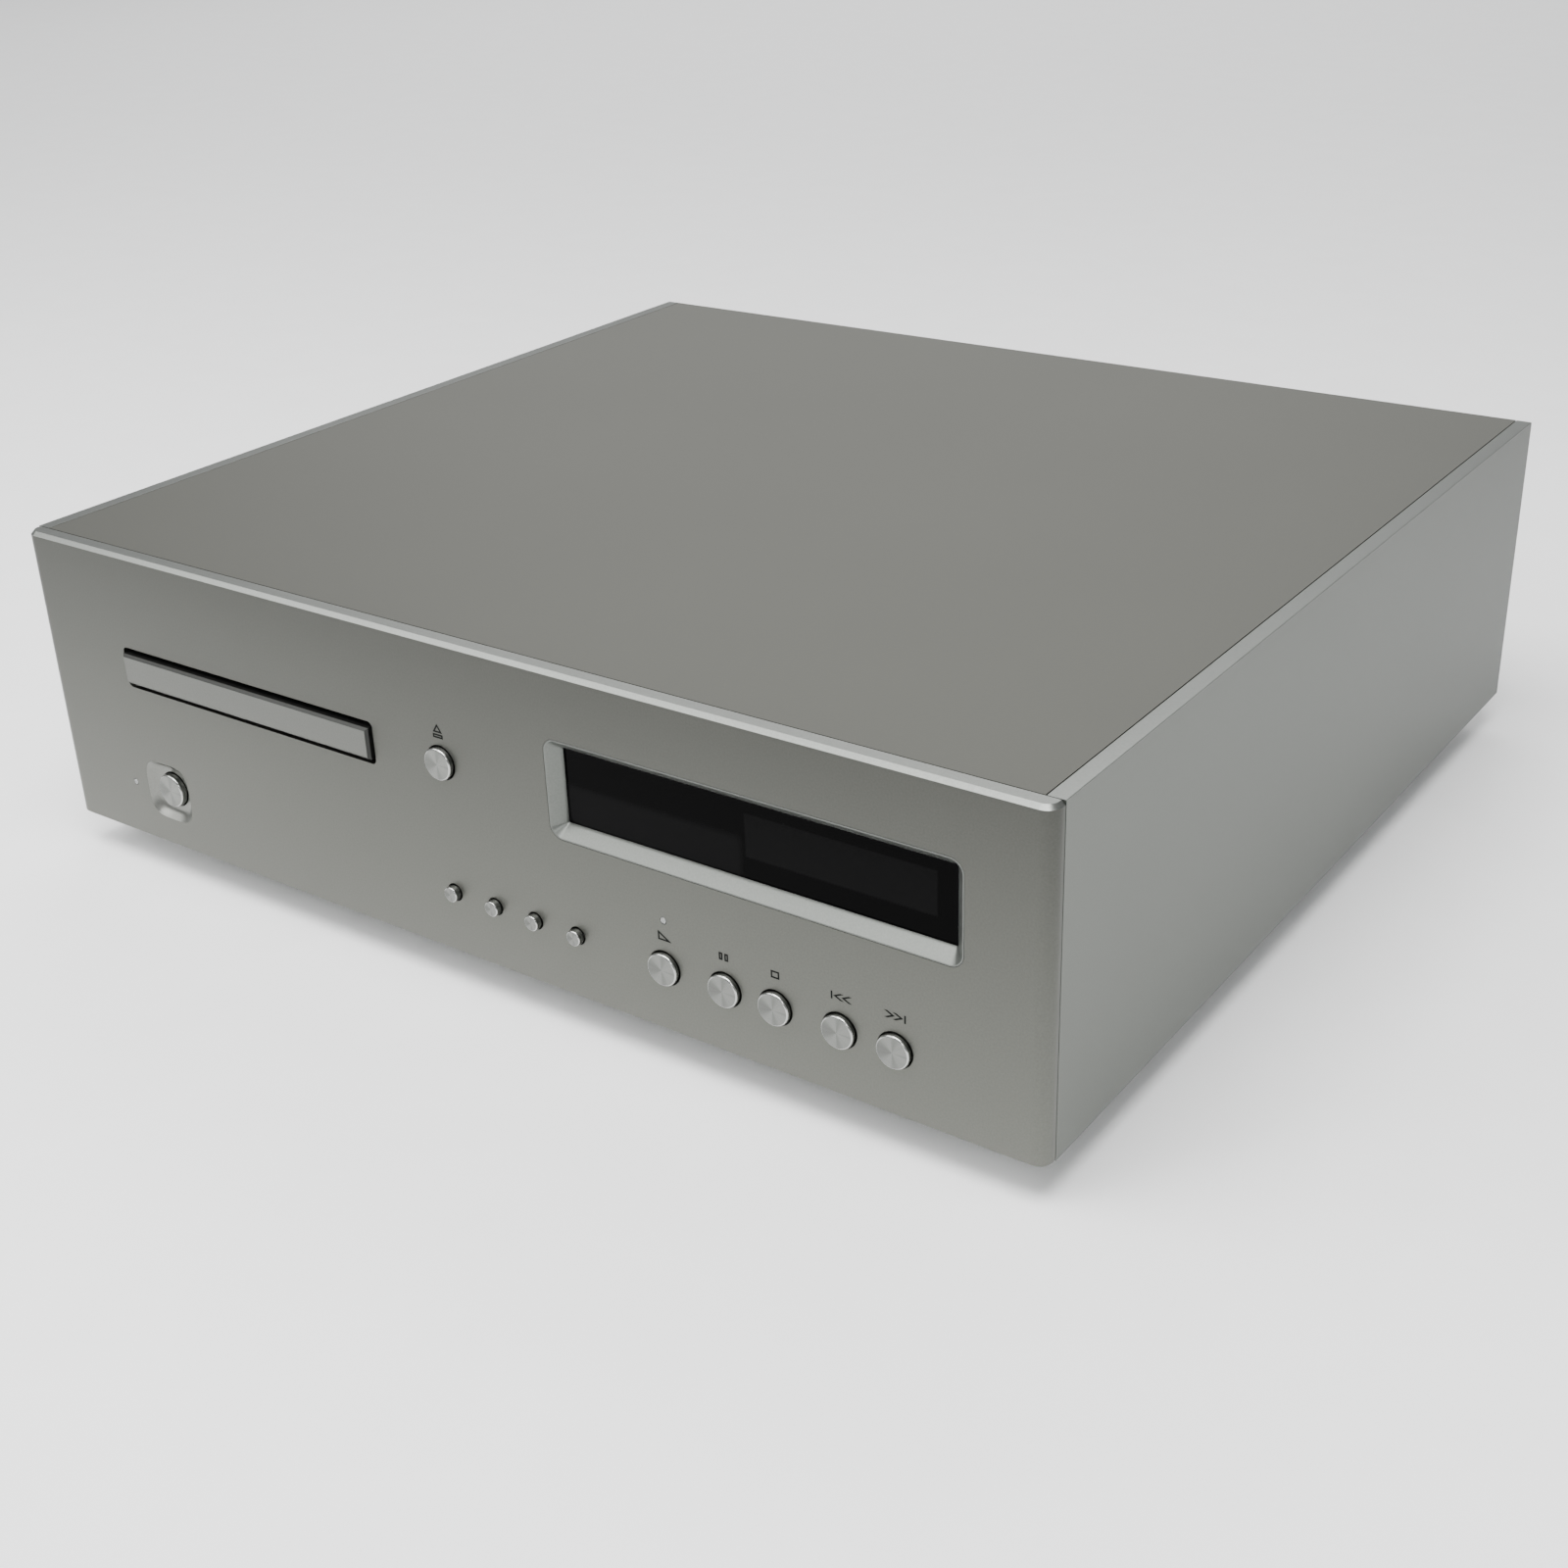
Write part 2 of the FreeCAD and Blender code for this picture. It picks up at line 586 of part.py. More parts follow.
def front_subplate():
    plate = box(-INNER, INNER, SUBPLATE_Y, SUBPLATE_BACK, PLATE_TOP, Z1 - COVER_THICK - FIT)
    ears = [box(-INNER, -INNER + SHEET_THICK, SUBPLATE_Y, SUBPLATE_Y + FLANGE, Z0 + FLANGE + FIT,
                Z1 - COVER_THICK - FIT),
            box(INNER - SHEET_THICK, INNER, SUBPLATE_Y, SUBPLATE_Y + FLANGE, Z0 + FLANGE + FIT,
                Z1 - COVER_THICK - FIT)]
    w = SLOT_WIDTH / 2
    h = SLOT_HEIGHT / 2
    cuts = [box(TRAY_X - w, TRAY_X + w, 0, 20, SLOT_CENTRE_Z - h, SLOT_CENTRE_Z + h),
            box(BEZEL_X - 73, BEZEL_X + 73, 0, 20, BEZEL_Z - 14, BEZEL_Z + 14)]
    cuts += [cyl(x, 0, z, STEM_R + STEM_PLAY, 20, Y_AXIS) for x, z, r, p, f in BUTTONS.values()]
    cuts += [cyl(x, 0, z, SCREW_R, 20, Y_AXIS) for x, z in PANEL_BOSSES]
    cuts += [cyl(x, 0, z, LAMP_R + LAMP_GAP, 20, Y_AXIS) for x, z in (POWER_LAMP, PLAY_LAMP)]
    return cut(fuse([plate] + ears), cuts)


def button(x, z, r, proud, flange_r):
    cap = cyl(x, -proud, z, r, FRONT_THICK + BUTTON_FLANGE_PLAY + proud, Y_AXIS)
    cap = cap.makeChamfer(BUTTON_EDGE, front_edges(cap, -proud, lambda e: True))
    flange = cyl(x, FRONT_THICK + BUTTON_FLANGE_PLAY, z, flange_r, BUTTON_FLANGE, Y_AXIS)
    stem = cyl(x, FRONT_THICK, z, STEM_R, SWITCH_FRONT + STEM_IN_SWITCH - FRONT_THICK, Y_AXIS)
    return fuse([cap, flange, stem])


def lamps():
    shapes = []
    for x, z in (POWER_LAMP, PLAY_LAMP):
        rod = cyl(x, 0, z, LAMP_R, KEY_BOARD_Y, Y_AXIS)
        tip = cone(x, -LAMP_PROUD, z, LAMP_R / 2, LAMP_R, LAMP_PROUD, Y_AXIS)
        shapes.append(rod.fuse(tip).removeSplitter())
    return group(shapes)


def key_board():
    y1 = KEY_BOARD_Y + BOARD_THICK
    power = box(POWER_LAMP[0] - 8, POWER_X + 12, KEY_BOARD_Y, y1, KEY_BOARD_BOTTOM, POWER_KEY_BOARD_TOP)
    low = box(EJECT_X - 10, NEXT_X + 12, KEY_BOARD_Y, y1, KEY_BOARD_BOTTOM, KEY_BOARD_TOP)
    high = box(EJECT_X - 10, EJECT_X + 10, KEY_BOARD_Y, y1, KEY_BOARD_TOP, EJECT_Z + 8)
    return group([power, fuse([low, high])])


def key_switches():
    shapes = []
    half = SWITCH_SIZE / 2
    for x, z, r, proud, flange_r in BUTTONS.values():
        body = box(x - half, x + half, SWITCH_FRONT, KEY_BOARD_Y, z - half, z + half)
        shapes.append(body.cut(cyl(x, SWITCH_FRONT, z, STEM_R + STEM_PLAY, SWITCH_BORE, Y_AXIS)))
    return group(shapes)


def display_module():
    back = BEZEL_DEPTH + WINDOW_THICK + FIT
    frame_back = SUBPLATE_BACK + 3.0
    frame = box(BEZEL_X - 72.5, BEZEL_X + 72.5, back, frame_back, BEZEL_Z - 13.5, BEZEL_Z + 13.5)
    frame = frame.cut(box(BEZEL_X - 70, BEZEL_X + 70, back, frame_back, BEZEL_Z - 11, BEZEL_Z + 11))
    tube = box(BEZEL_X - 2.3, BEZEL_X + 66, frame_back - 5, frame_back, BEZEL_Z - 6, BEZEL_Z + 9)
    board = box(BEZEL_X - 76, BEZEL_X + 76, frame_back, frame_back + BOARD_THICK, BEZEL_Z - 15, BEZEL_Z + 15)
    return fuse([frame, tube, board])


def tray_plate():
    plate = box(TRAY_X - TRAY_HALF, TRAY_X + TRAY_HALF, TRAY_FRONT_BACK, TRAY_REAR, TRAY_BOTTOM, TRAY_TOP)
    well_z = TRAY_BOTTOM + WELL_FLOOR
    cuts = [cyl(TRAY_X, DISC_Y, well_z, WELL_R, TRAY_THICK),
            cyl(TRAY_X, DISC_Y, well_z - SMALL_WELL_DEEP, SMALL_WELL_R, TRAY_THICK),
            box(TRAY_X - TRAY_CUT_HALF, TRAY_X + TRAY_CUT_HALF, TRAY_CUT_FRONT, TRAY_REAR + 1,
                TRAY_BOTTOM - 1, TRAY_TOP + 1)]
    plate = cut(plate, cuts)
    bar = rack(TRAY_X + RACK_X, RACK_FRONT, RACK_LENGTH, TRAY_BOTTOM - RACK_HEIGHT, TRAY_BOTTOM,
               TOOTH_MODULE,
               RACK_BACK - 1.25 * TOOTH_MODULE, GEAR_Y + math.pi * TOOTH_MODULE / 2)
    return plate.fuse(bar)


def tray_front():
    w = TRAY_FRONT_WIDTH
    h = TRAY_FRONT_HEIGHT
    z0 = TRAY_FRONT_Z - h / 2
    x0 = TRAY_X - w / 2
    front = box(x0, x0 + w, -TRAY_FRONT_PROUD, TRAY_FRONT_BACK, z0, z0 + h)
    return front.makeChamfer(TRAY_FRONT_CHAMFER, front_edges(front, -TRAY_FRONT_PROUD, lambda e: True))


def drive_gear():
    return gear(TRAY_X + DRIVE_X, GEAR_Y, GEAR_TOP - GEAR_THICK, GEAR_TOP, DRIVE_TEETH, TOOTH_MODULE,
                AXLE_R + AXLE_PLAY)


def pulley(x, y, r, bore):
    z = BASE_FLOOR_TOP + PULLEY_LIFT
    rim = PULLEY_RIM
    wheel = fuse([cyl(x, y, z, r + rim, rim), cyl(x, y, z + rim, r, PULLEY_THICK - 2 * rim),
                  cyl(x, y, z + PULLEY_THICK - rim, r + rim, rim)])
    return wheel.cut(cyl(x, y, z - 1, bore, PULLEY_THICK + 2)) if bore else wheel


def pulley_gear():
    x = TRAY_X + PULLEY_X
    bore = AXLE_R + AXLE_PLAY
    z = BASE_FLOOR_TOP + PULLEY_LIFT + PULLEY_THICK
    teeth = gear(x, GEAR_Y, GEAR_TOP - GEAR_THICK, GEAR_TOP, PINION_TEETH, TOOTH_MODULE, bore, 0.5)
    hub = cyl(x, GEAR_Y, z, PINION_R - 2, GEAR_TOP - GEAR_THICK - z).cut(cyl(x, GEAR_Y, z, bore, 40))
    return fuse([pulley(x, GEAR_Y, PULLEY_R, bore), hub, teeth])


def motor_pulley():
    z = BASE_FLOOR_TOP + PULLEY_LIFT
    wheel = pulley(TRAY_X + MOTOR_X, GEAR_Y, MOTOR_PULLEY_R, 0)
    shaft_z = BASE_FLOOR_Z - FIT
    return fuse([wheel, cyl(TRAY_X + MOTOR_X, GEAR_Y, shaft_z, MOTOR_SHAFT_R, z - shaft_z + PULLEY_THICK)])


def belt_outline(extra):
    # stadium round both pulleys, made of two circles and their tangents
    span = MOTOR_X - PULLEY_X
    big = PULLEY_R + extra
    small = MOTOR_PULLEY_R + extra
    lean = math.acos((big - small) / span)
    dx = math.cos(lean)
    dy = math.sin(lean)
    a = V(PULLEY_X + big * dx, big * dy, 0)
    b = V(PULLEY_X + big * dx, -big * dy, 0)
    c = V(MOTOR_X + small * dx, -small * dy, 0)
    d = V(MOTOR_X + small * dx, small * dy, 0)
    edges = [Part.Arc(a, V(PULLEY_X - big, 0, 0), b).toShape(), Part.LineSegment(b, c).toShape(),
             Part.Arc(c, V(MOTOR_X + small, 0, 0), d).toShape(), Part.LineSegment(d, a).toShape()]
    return Part.Face(Part.Wire(edges))


def loading_belt():
    z = BASE_FLOOR_TOP + PULLEY_LIFT + (PULLEY_THICK - BELT_WIDTH) / 2
    outer = belt_outline(BELT_GAP + BELT_THICK).extrude(V(0, 0, BELT_WIDTH))
    inner = belt_outline(BELT_GAP).extrude(V(0, 0, BELT_WIDTH))
    return moved(outer.cut(inner), TRAY_X, GEAR_Y, z)


def loading_motor():
    body = cyl(TRAY_X + MOTOR_X, GEAR_Y, BASE_FLOOR_Z - LOADING_MOTOR_LENGTH, LOADING_MOTOR_R,
               LOADING_MOTOR_LENGTH)
    return body.cut(cyl(TRAY_X + MOTOR_X, GEAR_Y, BASE_FLOOR_Z - 3, MOTOR_SHAFT_R + FIT, 4))


def pillar_places():
    ys = (BASE_FRONT + 14.0, BASE_REAR - 14.0)
    return [(TRAY_X + s * (BASE_HALF - PILLAR_R - 1), y) for s in (-1, 1) for y in ys]


def transport_pillars():
    height = BASE_FLOOR_Z - PLATE_TOP
    return group([cyl(x, y, PLATE_TOP, PILLAR_R, height) for x, y in pillar_places()])


def transport_base():
    wall = TRAY_HALF + BASE_WALL_GAP
    floor = box(TRAY_X - BASE_HALF, TRAY_X + BASE_HALF, BASE_FRONT, BASE_REAR, BASE_FLOOR_Z, BASE_FLOOR_TOP)
    shapes = [floor]
    ledge_top = TRAY_BOTTOM - LEDGE_GAP
    for s in (-1, 1):
        xs = sorted((TRAY_X + s * wall, TRAY_X + s * BASE_HALF))
        shapes.append(box(xs[0], xs[1], BASE_FRONT, BASE_REAR, BASE_FLOOR_Z, BASE_TOP))
        xs = sorted((TRAY_X + s * (wall - LEDGE_WIDTH), TRAY_X + s * BASE_HALF))
        shapes.append(box(xs[0], xs[1], BASE_FRONT, BASE_REAR, ledge_top - LEDGE_THICK, ledge_top))
        xs = sorted((TRAY_X + s * (TRAVERSE_HALF + FIT * 3), TRAY_X + s * wall))
        shapes.append(box(xs[0], xs[1], HINGE_Y - 8, HINGE_Y + 8, BASE_FLOOR_Z, HINGE_Z + HINGE_R + 3))
    for x in (DRIVE_X, PULLEY_X):
        shapes.append(cyl(TRAY_X + x, GEAR_Y, BASE_FLOOR_Z, AXLE_R, GEAR_TOP - BASE_FLOOR_Z))
    collar = BASE_FLOOR_TOP + PULLEY_LIFT - FIT
    shapes.append(cyl(TRAY_X + PULLEY_X, GEAR_Y, BASE_FLOOR_Z, AXLE_R + 1.5, collar - BASE_FLOOR_Z))
    collar = GEAR_TOP - GEAR_THICK - FIT
    shapes.append(cyl(TRAY_X + DRIVE_X, GEAR_Y, BASE_FLOOR_Z, AXLE_R + 2, collar - BASE_FLOOR_Z))
    for y in (CAM_FRONT - CAM_GUIDE_GAP - 2, CAM_FRONT + CAM_THICK + CAM_GUIDE_GAP):
        shapes.append(box(TRAY_X - 56, TRAY_X + 56, y, y + 2, BASE_FLOOR_Z, BASE_FLOOR_TOP + 3))
    base = fuse(shapes)
    well_front = CAM_FRONT + CAM_THICK + 3
    well_half = TRAVERSE_HALF + 5
    cuts = [box(TRAY_X - well_half, TRAY_X + well_half, well_front, HINGE_Y - 9,
                BASE_FLOOR_Z - 1, BASE_FLOOR_TOP + 1),
            cyl(TRAY_X, HINGE_Y, HINGE_Z, HINGE_R + AXLE_PLAY, BASE_HALF * 2, X_AXIS),
            cyl(TRAY_X - BASE_HALF, HINGE_Y, HINGE_Z, HINGE_R + AXLE_PLAY, BASE_HALF, X_AXIS),
            cyl(TRAY_X + MOTOR_X, GEAR_Y, BASE_FLOOR_Z - 1, MOTOR_SHAFT_R + FIT, 10)]
    cuts += [cyl(x, y, BASE_TOP - SCREW_LENGTH, SCREW_R, SCREW_LENGTH + 1) for x, y in bridge_screw_places()]
    return cut(base, cuts)


def bridge_screw_places():
    x = (TRAY_HALF + BASE_WALL_GAP + BASE_HALF) / 2
    return [(TRAY_X + s * x, y) for s in (-1, 1) for y in (BRIDGE_FRONT + 4, BRIDGE_REAR - 4)]


def clamp_bridge():
    plate = box(TRAY_X - BASE_HALF, TRAY_X + BASE_HALF, BRIDGE_FRONT, BRIDGE_REAR, BASE_TOP, BASE_TOP
                + BRIDGE_THICK)
    holes = [cyl(x, y, BASE_TOP - 1, SCREW_R, BRIDGE_THICK + 2) for x, y in bridge_screw_places()]
    return cut(plate, holes + [cyl(TRAY_X, DISC_Y, BASE_TOP - 1, PUCK_HOLE_R, BRIDGE_THICK + 2)])


def clamp_puck():
    flange_z = BASE_TOP + BRIDGE_THICK + AXLE_PLAY
    shape = fuse([cyl(TRAY_X, DISC_Y, PUCK_BOTTOM, PUCK_R, PUCK_THICK),
                  cyl(TRAY_X, DISC_Y, PUCK_BOTTOM, PUCK_NECK_R, flange_z - PUCK_BOTTOM),
                  cyl(TRAY_X, DISC_Y, flange_z, PUCK_FLANGE_R, PUCK_FLANGE)])
    return shape.cut(cyl(TRAY_X, DISC_Y, PUCK_BOTTOM, PUCK_RECESS_R, PUCK_RECESS))


def traverse_frame():
    plate = box(TRAY_X - TRAVERSE_HALF, TRAY_X + TRAVERSE_HALF, TRAVERSE_FRONT, TRAVERSE_REAR,
                TRAVERSE_Z, TRAVERSE_TOP)
    shapes = [plate]
    pin = TRAVERSE_HALF + 8
    shapes.append(cyl(TRAY_X - pin, HINGE_Y, HINGE_Z, HINGE_R, 2 * pin, X_AXIS))
    for s in (-1, 1):
        x = TRAY_X + s * ROD_X
        for y in (ROD_FRONT, ROD_REAR - ROD_BLOCK):
            shapes.append(box(x - ROD_BLOCK_HALF, x + ROD_BLOCK_HALF, y, y + ROD_BLOCK, TRAVERSE_TOP, ROD_Z
                              + ROD_R + 2))
    for pin_x in CAM_PIN_XS:
        x = TRAY_X + pin_x
        shapes.append(box(x - 4, x + 4, TRAVERSE_FRONT, TRAVERSE_FRONT + 3, TRAVERSE_Z, CAM_PIN_Z + 3))
        shapes.append(cyl(x, CAM_FRONT, CAM_PIN_Z, CAM_PIN_R, TRAVERSE_FRONT - CAM_FRONT + 1, Y_AXIS))
    shapes.append(cyl(TRAY_X + FEED_GEAR_X, FEED_Y, TRAVERSE_TOP, AXLE_R, SLED_TOP - TRAVERSE_TOP))
    feed_collar = FEED_GEAR_Z - FIT - TRAVERSE_TOP
    shapes.append(cyl(TRAY_X + FEED_GEAR_X, FEED_Y, TRAVERSE_TOP, AXLE_R + 1.5, feed_collar))
    frame = fuse(shapes)
    cuts = [box(TRAY_X - SLED_CUT_HALF, TRAY_X + SLED_CUT_HALF, ROD_FRONT + ROD_BLOCK + 2,
                ROD_REAR - ROD_BLOCK - 2,
                TRAVERSE_Z - 1, TRAVERSE_TOP + 0.5),
            cyl(TRAY_X, DISC_Y, TRAVERSE_Z - 1, SPINDLE_R + 1.5, 9),
            cyl(TRAY_X + FEED_PINION_X, FEED_Y, TRAVERSE_Z - 1, MOTOR_SHAFT_R + FIT, 9)]
    cuts += [cyl(TRAY_X + s * ROD_X, ROD_FRONT, ROD_Z, ROD_R, ROD_REAR - ROD_FRONT, Y_AXIS) for s in (-1, 1)]
    return cut(frame, cuts)


def guide_rods():
    return group([cyl(TRAY_X + s * ROD_X, ROD_FRONT, ROD_Z, ROD_R, ROD_REAR - ROD_FRONT, Y_AXIS)
                  for s in (-1, 1)])


def spindle_motor():
    z = TRAVERSE_Z - SPINDLE_MOTOR_HEIGHT
    body = cyl(TRAY_X, DISC_Y, z, SPINDLE_MOTOR_R, SPINDLE_MOTOR_HEIGHT)
    return body.cut(cyl(TRAY_X, DISC_Y, z + 2, SPINDLE_R + AXLE_PLAY, SPINDLE_MOTOR_HEIGHT))


def turntable():
    shaft_z = TRAVERSE_Z - SPINDLE_MOTOR_HEIGHT + 2 + FIT
    plate_z = TURNTABLE_TOP - TURNTABLE_THICK
    return fuse([cyl(TRAY_X, DISC_Y, shaft_z, SPINDLE_R, plate_z - shaft_z),
                 cyl(TRAY_X, DISC_Y, TRAVERSE_Z + TRAVERSE_THICK + 2, 4.0,
                     plate_z - TRAVERSE_Z - TRAVERSE_THICK - 2),
                 cyl(TRAY_X, DISC_Y, plate_z, TURNTABLE_R, TURNTABLE_THICK),
                 cyl(TRAY_X, DISC_Y, TURNTABLE_TOP, CONE_TIP_R, CONE_HEIGHT / 2),
                 cone(TRAY_X, DISC_Y, TURNTABLE_TOP + CONE_HEIGHT / 2, CONE_TIP_R, CONE_TIP_R - 2,
                      CONE_HEIGHT / 2)])


def pickup_sled():
    x0 = TRAY_X - SLED_HALF
    y0 = SLED_FRONT
    y1 = SLED_FRONT + SLED_LENGTH
    body = box(x0, x0 + 2 * SLED_HALF, y0, y1, SLED_BOTTOM, SLED_TOP)
    head = box(TRAY_X - HEAD_HALF, TRAY_X + HEAD_HALF, y0 + 1, y1 - 1, SLED_TOP, HEAD_TOP)
    under = box(TRAY_X - 16, TRAY_X + 16, y0 + 1, y1 - 6, TRAVERSE_Z - 3, SLED_BOTTOM)
    shape = fuse([body, head, under])
    shape = cut(shape, [cyl(TRAY_X + s * ROD_X, y0 - 1, ROD_Z, ROD_R + AXLE_PLAY, SLED_LENGTH + 2, Y_AXIS)
                        for s in (-1, 1)]
                        + [cyl(TRAY_X, (y0 + y1) / 2, HEAD_TOP - LENS_WELL, LENS_HOLDER_R + 1, 9)])
    bar = rack(TRAY_X + SLED_RACK_X, FEED_Y - SLED_TRAVEL - 6, SLED_TRAVEL + 12, FEED_GEAR_Z,
               FEED_GEAR_Z + FEED_GEAR_THICK, SLED_MODULE, SLED_RACK_BACK, FEED_Y)
    return fuse([shape, bar])


def objective_lens():
    y = SLED_FRONT + SLED_LENGTH / 2
    z = HEAD_TOP - LENS_WELL + LENS_FLOAT
    holder = cyl(TRAY_X, y, z, LENS_HOLDER_R, LENS_WELL - 1)
    lens = cyl(TRAY_X, y, z, LENS_R, LENS_TOP - z)
    lens = lens.makeFillet(LENS_R / 3, [e for e in lens.Edges if abs(e.BoundBox.ZMin - LENS_TOP) < 1e-4])
    return holder.fuse(lens)


def feed_gear():
    z = FEED_GEAR_Z
    return gear(TRAY_X + FEED_GEAR_X, FEED_Y, z, z + FEED_GEAR_THICK, FEED_GEAR_TEETH, SLED_MODULE,
                AXLE_R + AXLE_PLAY)


def feed_motor_pinion():
    z = FEED_GEAR_Z
    x = TRAY_X + FEED_PINION_X
    wheel = gear(x, FEED_Y, z, z + FEED_GEAR_THICK, FEED_PINION_TEETH, SLED_MODULE, 0, 0.5)
    shaft_z = TRAVERSE_Z - FIT
    return wheel.fuse(cyl(x, FEED_Y, shaft_z - 2, MOTOR_SHAFT_R, z + 2 - shaft_z)).removeSplitter()


def feed_motor():
    x = TRAY_X + FEED_PINION_X
    body = cyl(x, FEED_Y, TRAVERSE_Z - FEED_MOTOR_LENGTH, FEED_MOTOR_R, FEED_MOTOR_LENGTH)
    return body.cut(cyl(x, FEED_Y, TRAVERSE_Z - 4, MOTOR_SHAFT_R + FIT, 5))


def cam_slider():
    z = BASE_FLOOR_TOP + FIT
    x0 = TRAY_X - CAM_LENGTH / 2
    plate = box(x0, x0 + CAM_LENGTH, CAM_FRONT, CAM_FRONT + CAM_THICK, z, z + CAM_HEIGHT)
    drop = (HINGE_Y - CAM_FRONT - CAM_THICK / 2) * math.sin(TRAVERSE_DROP)
    r = CAM_PIN_R + CAM_PIN_PLAY
    slots = []
    for pin_x in CAM_PIN_XS:
        px = TRAY_X + pin_x
        pz = CAM_PIN_Z
        # the slide moves towards +x, so the low end of each slot lies towards -x
        ends = [(px, pz), (px - CAM_TRAVEL, pz - drop)]
        lean = math.atan2(drop, CAM_TRAVEL)
        length = math.hypot(drop, CAM_TRAVEL)
        bar = box(0, length, CAM_FRONT - 1, CAM_FRONT + CAM_THICK + 1, -r, r)
        bar = turned(bar, V(0, 0, 0), Y_AXIS, -math.degrees(lean))
        slots.append(moved(bar, ends[1][0], 0, ends[1][1]))
        slots += [cyl(x, CAM_FRONT - 1, zz, r, CAM_THICK + 2, Y_AXIS) for x, zz in ends]
    return cut(plate, slots)


def board(area, z):
    x0, x1, y0, y1 = area
    return box(x0, x1, y0, y1, z, z + BOARD_THICK)


def chip_row(x, y, step, count, width, depth, height, z):
    return [box(x + i * step, x + i * step + width, y, y + depth, z, z + height) for i in range(count)]


BOARD_Z = PLATE_TOP + STANDOFF
BOARD_TOP = BOARD_Z + BOARD_THICK


def power_board():
    x = POWER_BOARD[0] + 10
    y = POWER_BOARD[3] - 25
    return fuse([board(POWER_BOARD, BOARD_Z)] + chip_row(x, y, 26, 3, 18, 14, 16, BOARD_TOP))


def filter_capacitors():
    shapes = []
    for x in (POWER_BOARD[0] + 22, POWER_BOARD[0] + 24 + 2 * CAPACITOR_R + 2):
        for y in [POWER_BOARD[2] + 25 + i * (2 * CAPACITOR_R + 5) for i in range(3)]:
            can = cyl(x, y, BOARD_TOP, CAPACITOR_R, CAPACITOR_HEIGHT)
            top = [e for e in can.Edges if abs(e.BoundBox.ZMin - BOARD_TOP - CAPACITOR_HEIGHT) < 1e-4]
            shapes.append(can.makeFillet(1.5, top))
    return group(shapes)


def heat_sink():
    x = POWER_BOARD[1] - 20
    y = POWER_BOARD[2] + 21
    back = box(x, x + 4, y, y + HEAT_SINK_LENGTH, BOARD_TOP, BOARD_TOP + HEAT_SINK_HEIGHT)
    step = (HEAT_SINK_LENGTH - HEAT_SINK_FIN) / (HEAT_SINK_FINS - 1)
    fins = [box(x + 4, x + 18, y + i * step, y + i * step + HEAT_SINK_FIN, BOARD_TOP, BOARD_TOP
                + HEAT_SINK_HEIGHT)
            for i in range(HEAT_SINK_FINS)]
    return fuse([back] + fins)


def power_transformer():
    ring = cyl(TRANSFORMER_X, TRANSFORMER_Y, PLATE_TOP, TRANSFORMER_R, TRANSFORMER_HEIGHT)
    rims = [e for e in ring.Edges if e.BoundBox.ZLength < 1e-4]
    ring = ring.makeFillet(TRANSFORMER_HEIGHT / 4, rims)
    return ring.cut(cyl(TRANSFORMER_X, TRANSFORMER_Y, PLATE_TOP - 1, TRANSFORMER_R / 3, 99))


def transformer_clamp():
    z = PLATE_TOP + TRANSFORMER_HEIGHT
    disc = cone(TRANSFORMER_X, TRANSFORMER_Y, z, TRANSFORMER_R - 14, TRANSFORMER_R - 17, 3)
    stud = cyl(TRANSFORMER_X, TRANSFORMER_Y, PLATE_TOP, 4, z - PLATE_TOP + 10)
    nut = cyl(TRANSFORMER_X, TRANSFORMER_Y, z + 3, 7.5, 5)
    return fuse([disc, stud, nut])


def digital_board():
    x = DIGITAL_BOARD[0]
    y = DIGITAL_BOARD[2]
    chips = [box(x + 80, x + 108, y + 50, y + 78, BOARD_TOP, BOARD_TOP + 2.4),
             box(x + 130, x + 150, y + 50, y + 70, BOARD_TOP, BOARD_TOP + 2.4)]
    row = chip_row(x + 60, y + 100, 24, 6, 14, 8, 2.4, BOARD_TOP)
    return fuse([board(DIGITAL_BOARD, BOARD_Z)] + chips + row)


def audio_board():
    x = AUDIO_BOARD[0] + 20
    y = AUDIO_BOARD[3]
    rows = chip_row(x + 4, y - 145, 30, 4, 12, 12, 2.4, BOARD_TOP)
    rows += chip_row(x, y - 75, 22, 6, 14, 10, 12, BOARD_TOP)
    rows += chip_row(x, y - 45, 22, 6, 15, 12, 14, BOARD_TOP)
    return fuse([board(AUDIO_BOARD, BOARD_Z)] + rows)


def chassis_partition():
    front = min(POWER_BOARD[2], AUDIO_BOARD[2]) - PARTITION_GAP
    top = Z1 - COVER_THICK - FLANGE
    wall = box(PARTITION_X, PARTITION_X + SHEET_THICK, front, REAR_Y - FIT, PLATE_TOP, top)
    foot = box(PARTITION_X - PARTITION_GAP + 1, PARTITION_X + SHEET_THICK, front, REAR_Y - FIT, PLATE_TOP,
               PLATE_TOP + SHEET_THICK)
    return fuse([wall, foot])


def phono_jack(x):
    shell = cyl(x, REAR_Y - 12, JACK_Z, RCA_R, 12 + REAR_THICK + RCA_REACH, Y_AXIS)
    washer = cyl(x, REAR_FACE, JACK_Z, RCA_R + 2.5, 2, Y_AXIS)
    jack = fuse([shell, washer])
    return jack.cut(cyl(x, REAR_FACE + RCA_REACH - 9, JACK_Z, 1.6, 10, Y_AXIS))


def phono_jacks():
    return group([phono_jack(x) for x, z in jack_places()])


